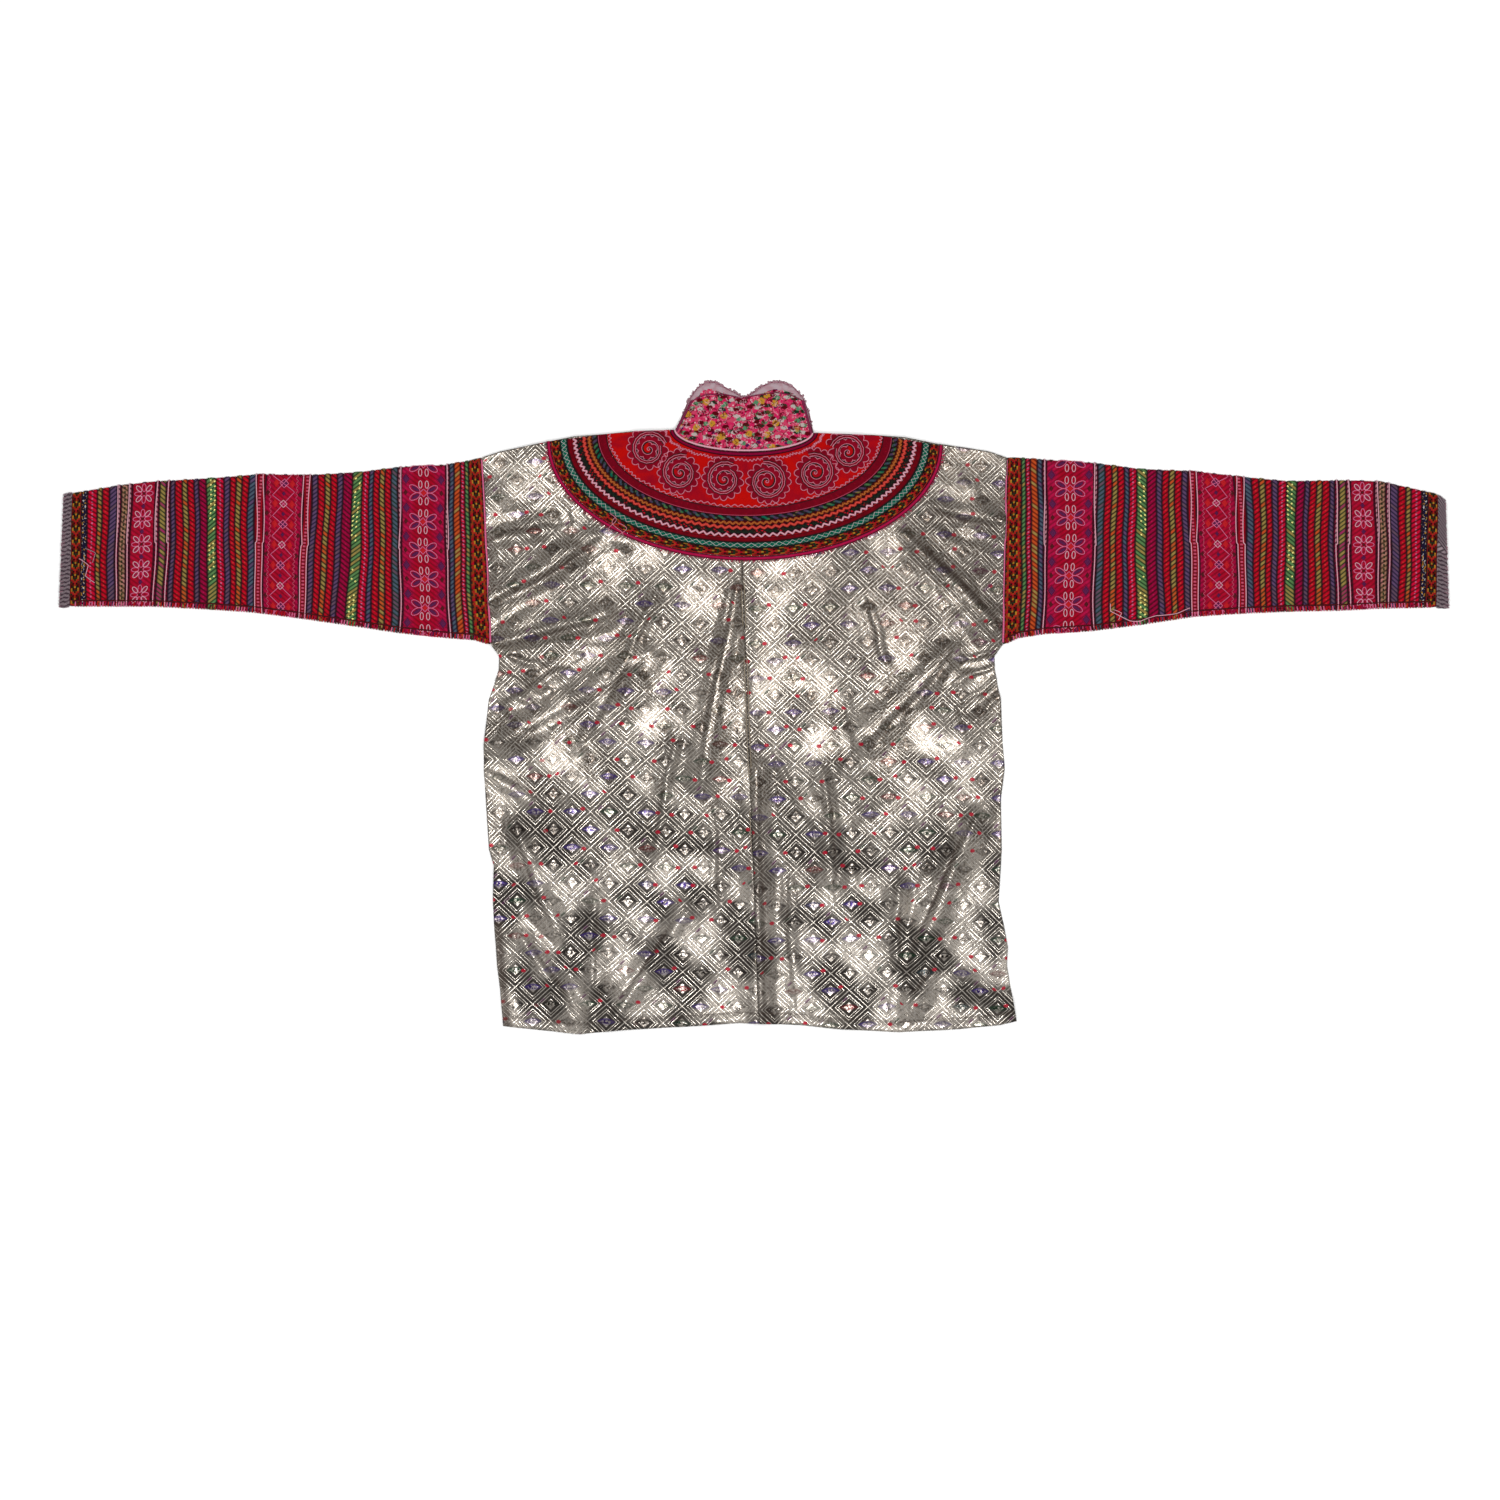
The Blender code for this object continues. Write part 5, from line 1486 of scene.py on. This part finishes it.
def on_sleeve(stations, share, arc, lift):
    """Points and normals on a sleeve: arc is the distance round from mid upper side."""
    arc = np.asarray(arc, dtype=float)
    length = share * SLEEVE_LENGTH
    ease = np.clip(np.minimum(share, 1.0 - share) * 20.0, 0.0, 1.0)
    drift = 0.9 * np.sin(arc / 31.0 + length / 27.0) + 0.5 * np.sin(arc / 13.0 - length / 15.0)
    share = share + ease * drift / SLEEVE_LENGTH
    middles = np.array([0.5 * (row.top_x + row.bottom_x) for row in stations])
    places = (middles - middles[0]) / (middles[-1] - middles[0])
    top_x, top_y, bottom_x, bottom_y = (
        np.interp(share, places, column) for column in zip(*stations))
    outward = math.copysign(SEAM, middles[-1])
    width = np.hypot(bottom_x - top_x, bottom_y - top_y)
    unit_x, unit_y = (bottom_x - top_x) / width, (bottom_y - top_y) / width
    height = SLEEVE_HEIGHT_SHOULDER + (SLEEVE_HEIGHT_WRIST - SLEEVE_HEIGHT_SHOULDER) * share
    radius = 0.5 * height
    reach = 0.5 * width - radius
    half_round = 2.0 * reach + math.pi * radius
    arc = (arc + half_round) % (2.0 * half_round) - half_round
    side = np.sign(arc)
    away = np.abs(arc)
    bend = np.clip((away - reach) / radius, 0.0, math.pi)
    across = np.where(away < reach, away, reach + radius * np.sin(bend))
    beyond = away - reach - math.pi * radius
    across = side * np.where(beyond > 0.0, reach - beyond, across)
    normal_across, normal_up = side * np.sin(bend), np.cos(bend)
    low_lift = lift * (1.0 + normal_up) + (lift - 1.5) * -normal_up * 0.35
    lift = np.where(normal_up > 0.0, lift, low_lift)
    x = 0.5 * (top_x + bottom_x) + unit_x * (across + normal_across * lift) + outward
    y = 0.5 * (top_y + bottom_y) + unit_y * (across + normal_across * lift)
    z = radius * (1.0 + normal_up) + normal_up * lift
    normals = np.stack([unit_x * normal_across, unit_y * normal_across, normal_up], axis=-1)
    return np.stack([x, y, z], axis=-1), normals


def half_round(stations, share):
    """Half the distance round a sleeve at a share of its length."""
    middles = np.array([0.5 * (row.top_x + row.bottom_x) for row in stations])
    places = (middles - middles[0]) / (middles[-1] - middles[0])
    widths = [math.hypot(row.bottom_x - row.top_x, row.bottom_y - row.top_y) for row in stations]
    width = np.interp(share, places, widths)
    height = SLEEVE_HEIGHT_SHOULDER + (SLEEVE_HEIGHT_WRIST - SLEEVE_HEIGHT_SHOULDER) * share
    return width - height + 0.5 * math.pi * height


def round_steps():
    """Steps round a sleeve, closer together on the upper side and at the folds."""
    upper = np.linspace(-0.5, 0.5, 65)
    fold = np.linspace(0.5, 0.55, 7)[1:]
    under = np.linspace(0.55, 1.0, 19)[1:-1]
    right = np.concatenate([fold, under])
    return np.concatenate([-right[::-1], upper, right, [1.0]])


def make_sleeve(side, stations):
    """A sleeve's ribbons, all round, as one shell."""
    pile = Pile()
    rounds = round_steps()
    steps = ribbon_steps(SLEEVE_RIBBONS, 1.25)
    for ribbon, share, place, rise, painted_shade in zip(SLEEVE_RIBBONS, *steps):
        share = share * WRIST_SEAM
        share_grid, round_grid = np.meshgrid(share, rounds, indexing="ij")
        arc = round_grid * half_round(stations, share_grid)
        length = share_grid * SLEEVE_LENGTH
        ripple = 0.22 * crumple(length, arc, 26.0, 41) + 0.1 * crumple(length, arc, 6.0, 43)
        lift = rise[:, None] + ripple
        points, _normals = on_sleeve(stations, share_grid, arc, lift)
        round_closed = np.append(rounds, rounds[0] + 2.0)
        arc_closed = round_closed[None, :] * half_round(stations, share)[:, None]
        cloth = np.stack([np.broadcast_to(place[:, None], arc_closed.shape), arc_closed], axis=-1)
        pile.grid(points, cloth, ribbon.name, closed=True, edges=painted_shade[:, None])
    piece = pile.build(f"sleeve_{side}_cloth", "sleeve_ribbon")
    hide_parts(f"sleeve_{side}")
    return piece


# Embroidered bands: marks at places across the band (x) and round the sleeve (y)
Mark = namedtuple("Mark", "form look x y half_x half_y angle")
FLOWER_MARKS = [
    Mark("fill", "purple_thread", 8.6, 3.8, 4.4, 1.7, 30),
    Mark("line", "pink_thread", 9.0, 3.8, 6.0, 2.9, 30),
    Mark("line", "pale_thread", 3.3, 8.3, 1.7, 3.6, 0),
    Mark("diamond", "red_thread", 0.0, 0.0, 3.2, 3.2, 0),
    Mark("frame", "pink_thread", 0.0, 0.0, 3.9, 3.9, 0),
    Mark("diamond", "purple_thread", 18.0, 15.0, 3.6, 4.8, 0),
    Mark("frame", "magenta_thread", 18.0, 15.0, 4.6, 5.8, 0),
    Mark("diamond", "crimson_thread", 18.5, 0.0, 2.2, 3.0, 0),
]
LATTICE_MARKS = [
    Mark("diamond", "purple_thread", 0.0, 0.0, 3.4, 3.4, 0),
    Mark("frame", "pink_thread", 0.0, 0.0, 4.4, 4.4, 0),
    Mark("frame", "pale_thread", 0.0, 19.0, 3.6, 3.6, 0),
    Mark("diamond", "magenta_thread", 0.0, 19.0, 2.4, 2.4, 0),
    Mark("diamond", "red_thread", 8.2, 0.0, 3.0, 4.4, 0),
    Mark("diamond", "red_thread", 8.2, 19.0, 3.0, 4.4, 0),
    Mark("diamond", "crimson_thread", 16.0, 9.5, 2.2, 2.8, 0),
    Mark("diamond", "purple_thread", 0.0, 9.5, 2.0, 2.4, 0),
]
CROSS_MARKS = [
    Mark("line", "pink_thread", 0.0, 6.0, 2.0, 3.8, 0),
    Mark("line", "pink_thread", 6.0, 0.0, 3.8, 2.0, 0),
    Mark("line", "pale_thread", 5.2, 5.2, 3.6, 1.9, 45),
    Mark("fill", "magenta_thread", 5.2, 5.2, 2.6, 1.1, 45),
    Mark("diamond", "purple_thread", 0.0, 13.0, 2.4, 2.8, 0),
    Mark("diamond", "crimson_thread", 0.0, 0.0, 1.6, 1.6, 0),
]
# Marks this near half a repeat already lie on its border, so they have no copy at its other end
BORDER_REACH = 2.0
Zigzag = namedtuple("Zigzag", "look x amplitude period phase")
Band = namedtuple("Band", "ribbon pitch marks zigzags")
BANDS = [
    Band("flower_band", 28.5, FLOWER_MARKS, []),
    Band("lattice_band", 38.0, LATTICE_MARKS, [
        Zigzag("pink_thread", 0.0, 11.5, 38.0, 0.0), Zigzag("pink_thread", 0.0, 11.5, 38.0, 0.5),
        Zigzag("couch_thread", -14.0, 1.3, 4.75, 0.0), Zigzag("couch_thread", 14.0, 1.3, 4.75, 0.5),
    ]),
    Band("cross_band", 26.0, CROSS_MARKS, []),
]


def mirrored(marks, pitch):
    """Every mark of a band's repeat, from a table that gives one quarter of it."""
    for mark in marks:
        on_border = abs(mark.y - 0.5 * pitch) < BORDER_REACH
        for end in (1,) if mark.y == 0.0 or on_border else (1, -1):
            for side in (1,) if mark.x == 0.0 else (-1, 1):
                yield mark._replace(
                    x=side * mark.x, y=end * mark.y, angle=side * end * mark.angle)


def ribbon_share(number, t=0.5):
    """Share of the sleeve's length at a place in one of its ribbons."""
    total = sum(ribbon.width for ribbon in SLEEVE_RIBBONS)
    start = sum(ribbon.width for ribbon in SLEEVE_RIBBONS[:number])
    return WRIST_SEAM * (start + t * SLEEVE_RIBBONS[number].width) / total


def ribbon_scale():
    """Real length on the sleeve for each millimetre in the table of ribbons."""
    return WRIST_SEAM * SLEEVE_LENGTH / sum(ribbon.width for ribbon in SLEEVE_RIBBONS)


def mark_outline(mark, count):
    """Closed outline of an embroidered mark, as offsets from its middle."""
    if mark.form in ("diamond", "frame"):
        corners = np.array([(1, 0), (0, 1), (-1, 0), (0, -1), (1, 0)], dtype=float)
        along_it = np.linspace(0.0, 4.0, count, endpoint=False)
        x = np.interp(along_it, range(5), corners[:, 0]) * mark.half_x
        y = np.interp(along_it, range(5), corners[:, 1]) * mark.half_y
    else:
        around = np.linspace(0.0, TURN, count, endpoint=False)
        x, y = mark.half_x * np.cos(around), mark.half_y * np.sin(around)
    turn = math.radians(mark.angle)
    return x * math.cos(turn) - y * math.sin(turn), x * math.sin(turn) + y * math.cos(turn)


def add_patch(pile, stations, share, arc, outline, look):
    """A low satin-stitched patch: rings from its edge up to its middle."""
    x, y = outline
    rings = []
    for size, lift in ((1.0, 0.25), (0.8, 0.6), (0.02, 0.75)):
        points, _normals = on_sleeve(
            stations, share + size * x / SLEEVE_LENGTH, arc + size * y, lift)
        rings.append(points)
    points = np.stack(rings, axis=0)
    cloth = np.stack(np.meshgrid(np.linspace(0.0, 6.0, len(x) + 1), [0.0, 1.0, 3.0]), axis=-1)
    pile.grid(points, cloth, look, closed=True)


def make_embroidery(side, stations):
    """Marks and zigzags of the three embroidered bands of a sleeve."""
    pile = Pile()
    scale = ribbon_scale()
    for band in BANDS:
        number = next(n for n, row in enumerate(SLEEVE_RIBBONS) if row.name == band.ribbon)
        middle = ribbon_share(number)
        around = 2.0 * float(half_round(stations, middle))
        repeats = max(1, round(around / band.pitch))
        pitch = around / repeats
        for repeat in range(repeats):
            centre = (repeat - 0.5 * repeats) * pitch
            for mark in mirrored(band.marks, band.pitch):
                share = middle + mark.x * scale / SLEEVE_LENGTH
                arc = centre + mark.y * pitch / band.pitch
                x, y = mark_outline(mark, 12 if mark.form in ("diamond", "frame") else 14)
                if mark.form in ("diamond", "fill"):
                    add_patch(pile, stations, share, arc, (x * scale, y), mark.look)
                else:
                    path, normals = on_sleeve(
                        stations, share + x * scale / SLEEVE_LENGTH, arc + y, 0.55)
                    add_tube(pile, path, normals, 0.5, mark.look, 4, closed=True)
        for row in band.zigzags:
            period = around / round(around / row.period)
            count = int(around / period) * (24 if row.period > 20.0 else 6)
            arc = np.linspace(0.0, around, count, endpoint=False)
            x = row.x + row.amplitude * triangle_wave(arc / period + row.phase)
            path, normals = on_sleeve(stations, middle + x * scale / SLEEVE_LENGTH, arc, 0.5)
            add_tube(pile, path, normals, 0.45, row.look, 4, closed=True)
    return pile.build(f"sleeve_{side}_embroidery", "sleeve_ribbon")


LooseThread = namedtuple("LooseThread", "look radius height spots")
LOOSE_THREADS = {
    "left": [
        LooseThread("pale_thread", 0.4, 6.6, [(-661, 146), (-652, 139), (-655, 130), (-646, 122)]),
        LooseThread("worn_thread", 0.4, 6.6, [(-655, 156), (-645, 151), (-648, 143)]),
    ],
    "right": [
        LooseThread("pale_thread", 0.42, 7.6, [
            (349, 102), (349, 94), (368, 86), (378, 84), (394, 90), (414, 93), (427, 97),
        ]),
        LooseThread("pale_thread", 0.35, 7.6, [(352, 96), (360, 92), (357, 87)]),
    ],
}


def make_sleeve_lines(side, stations):
    """Bright sewn lines and sequins that run round a sleeve."""
    pile = Pile()
    chance = np.random.default_rng(7)
    for number, ribbon in enumerate(SLEEVE_RIBBONS):
        places = {"pink_line": (0.5,), "ladder": (0.14, 0.86)}.get(ribbon.name, ())
        for t in places:
            share = ribbon_share(number, t)
            around = 2.0 * float(half_round(stations, share))
            arc = np.linspace(0.0, around, 170, endpoint=False)
            path, normals = on_sleeve(stations, share + 0.0 * arc, arc, ribbon.rise + 0.2)
            add_tube(pile, path, normals, 0.55, "pale_thread", 5, closed=True)
        if ribbon.name != "green_sequin":
            continue
        middle = ribbon_share(number)
        around = 2.0 * float(half_round(stations, middle))
        for step in range(int(around / SEQUIN_STEP)):
            arc = step * SEQUIN_STEP + chance.uniform(-0.3, 0.3)
            if chance.uniform() < 0.56 + 0.44 * math.sin(arc / 17.0 + number):
                continue
            share = middle + (1.9 if step % 2 else -1.9) / SLEEVE_LENGTH
            x, y = mark_outline(Mark("fill", "", 0, 0, SEQUIN_SIZE, SEQUIN_SIZE, 0), 7)
            rings = []
            for size, lift in ((1.0, 1.05), (0.25, 0.95)):
                points, _normals = on_sleeve(
                    stations, share + size * x / SLEEVE_LENGTH, arc + size * y, lift)
                rings.append(points)
            cloth = np.stack(np.meshgrid(np.linspace(step, step + 2.0, 8), [0.0, 1.0]), axis=-1)
            pile.grid(np.stack(rings, axis=0), cloth, "sequin", closed=True)
    share = np.linspace(0.006, 0.97, 260)
    fold = 0.5 * half_round(stations, share)
    path, normals = on_sleeve(stations, share, fold - 6.5, 0.9)
    add_tube(pile, path, normals, 0.7, "crimson_thread", 4)
    for number in range(OVERCAST_STITCHES):
        place = 0.008 + 0.96 * number / OVERCAST_STITCHES
        stitch = np.linspace(place, place + 0.002, 3)
        low = 0.5 * half_round(stations, stitch) - np.linspace(5.4, 1.0, 3)
        path, normals = on_sleeve(stations, stitch, low, 0.9)
        look = ("pink_thread", "red_thread", "crimson_thread", "magenta_thread")[chance.integers(4)]
        add_tube(pile, path, normals, 0.7, look, 4)
    for thread in LOOSE_THREADS[side]:
        spots = np.array(thread.spots)
        t = np.linspace(0.0, len(spots) - 1.0, 12 * len(spots))
        x = np.interp(t, range(len(spots)), spots[:, 0])
        y = np.interp(t, range(len(spots)), spots[:, 1]) + 0.8 * np.sin(2.3 * t)
        z = thread.height + 0.4 * np.sin(1.7 * t)
        path = np.stack([x, y, z], axis=-1)
        add_tube(pile, path, upward(len(t)), thread.radius, thread.look, 5)
    return pile.build(f"sleeve_{side}_lines", "sleeve_ribbon")


def make_cuff(side, stations):
    """Worked edging at the wrist: crosswise stitches over a cord, with a scalloped end."""
    pile = Pile()
    rounds = round_steps()
    steps = np.linspace(WRIST_SEAM, 1.0, 9)
    share_grid, round_grid = np.meshgrid(steps, rounds, indexing="ij")
    arc = round_grid * half_round(stations, share_grid)
    t = (share_grid - WRIST_SEAM) / (1.0 - WRIST_SEAM)
    share_grid = share_grid - (0.0022 * np.abs(np.sin(math.pi * arc / 5.0))) * t ** 3
    lift = 0.5 * np.sin(math.pi * t) - 0.2
    points, _normals = on_sleeve(stations, share_grid, arc, lift)
    round_closed = np.append(rounds, rounds[0] + 2.0)
    arc_closed = round_closed[None, :] * half_round(stations, steps)[:, None]
    cloth = np.stack(
        [np.broadcast_to((steps * SLEEVE_LENGTH)[:, None], arc_closed.shape), arc_closed], axis=-1)
    pile.grid(points, cloth, "edging", closed=True)
    around = 2.0 * float(half_round(stations, 1.0))
    count = int(around / 1.9)
    chance = np.random.default_rng(23)
    threads = Pile()
    for number in range(count):
        arc = (number + 0.5) * around / count
        look = "stone_thread" if number % 2 else "dusk_thread"
        share = np.linspace(WRIST_SEAM + 0.001, 0.997, 6)
        lift = 0.3 + 0.5 * np.sin(np.linspace(0.0, math.pi, 6))
        path, normals = on_sleeve(stations, share, arc + np.linspace(-0.4, 0.4, 6), lift)
        add_tube(threads, path, normals, 0.75 if number % 2 else 0.5, look, 4)
    for _ in range(120):
        arc = chance.uniform(0.0, around)
        share = np.linspace(0.99, 0.9985 + chance.uniform(0.0, 0.004), 4)
        drift = chance.uniform(-1.5, 1.5) * np.linspace(0.0, 1.0, 4)
        path, normals = on_sleeve(stations, share, arc + drift, 0.4)
        add_tube(threads, path, normals, 0.3, "worn_thread", 3)
    piece = pile.build(f"cuff_{side}_edging", "edging")
    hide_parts(f"cuff_{side}")
    return piece, threads.build(f"cuff_{side}_threads", "edging")


def make_seams():
    """Stitched lines of the centre back and the armholes."""
    pile = Pile()
    y = np.linspace(*CENTRE_BACK_STITCHED_Y, 190)
    x = centre_back(y)
    for offset in (-1.4, 1.4):
        path = np.stack([x + offset, y, body_top(x, y) + 0.1], axis=-1)
        add_tube(pile, path, upward(len(y)), 0.4, "champagne_thread", 4)
    for side_x in (left_side, right_side):
        y = np.linspace(*ARMHOLE_Y, 140)
        x = side_x(y)
        path = np.stack([x, y, body_top(x, y) + 0.5], axis=-1)
        add_tube(pile, path, upward(len(y)), 1.0, "pink_thread", 6)
    return pile.build("seam_stitching", "brocade")


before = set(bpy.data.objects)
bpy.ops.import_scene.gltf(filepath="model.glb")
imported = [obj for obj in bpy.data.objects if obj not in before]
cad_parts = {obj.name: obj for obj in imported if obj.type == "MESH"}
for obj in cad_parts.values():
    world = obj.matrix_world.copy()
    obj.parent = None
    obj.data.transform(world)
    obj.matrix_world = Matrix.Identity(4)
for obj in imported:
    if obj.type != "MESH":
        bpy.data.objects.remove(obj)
cad_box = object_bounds()
make_stage()
LOOKS = make_looks()
backs = make_backs()
fronts = make_fronts()
yoke = make_yoke()
yoke_trim = make_yoke_trim()
spirals = make_spirals()
front_yokes = make_front_yokes()
collars = make_collar()
seams = make_seams()
sleeves = []
cuffs = []
for side, stations in (("left", LEFT_SLEEVE), ("right", RIGHT_SLEEVE)):
    sleeve = make_sleeve(side, stations)
    trims = [make_embroidery(side, stations), make_sleeve_lines(side, stations)]
    sleeves.append(sleeve)
    cuff, threads = make_cuff(side, stations)
    cuffs.append(cuff)

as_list(collars[1:])

visual_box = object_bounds()
[[list(map(float, corner)) for corner in box] for box in (cad_box, visual_box)]
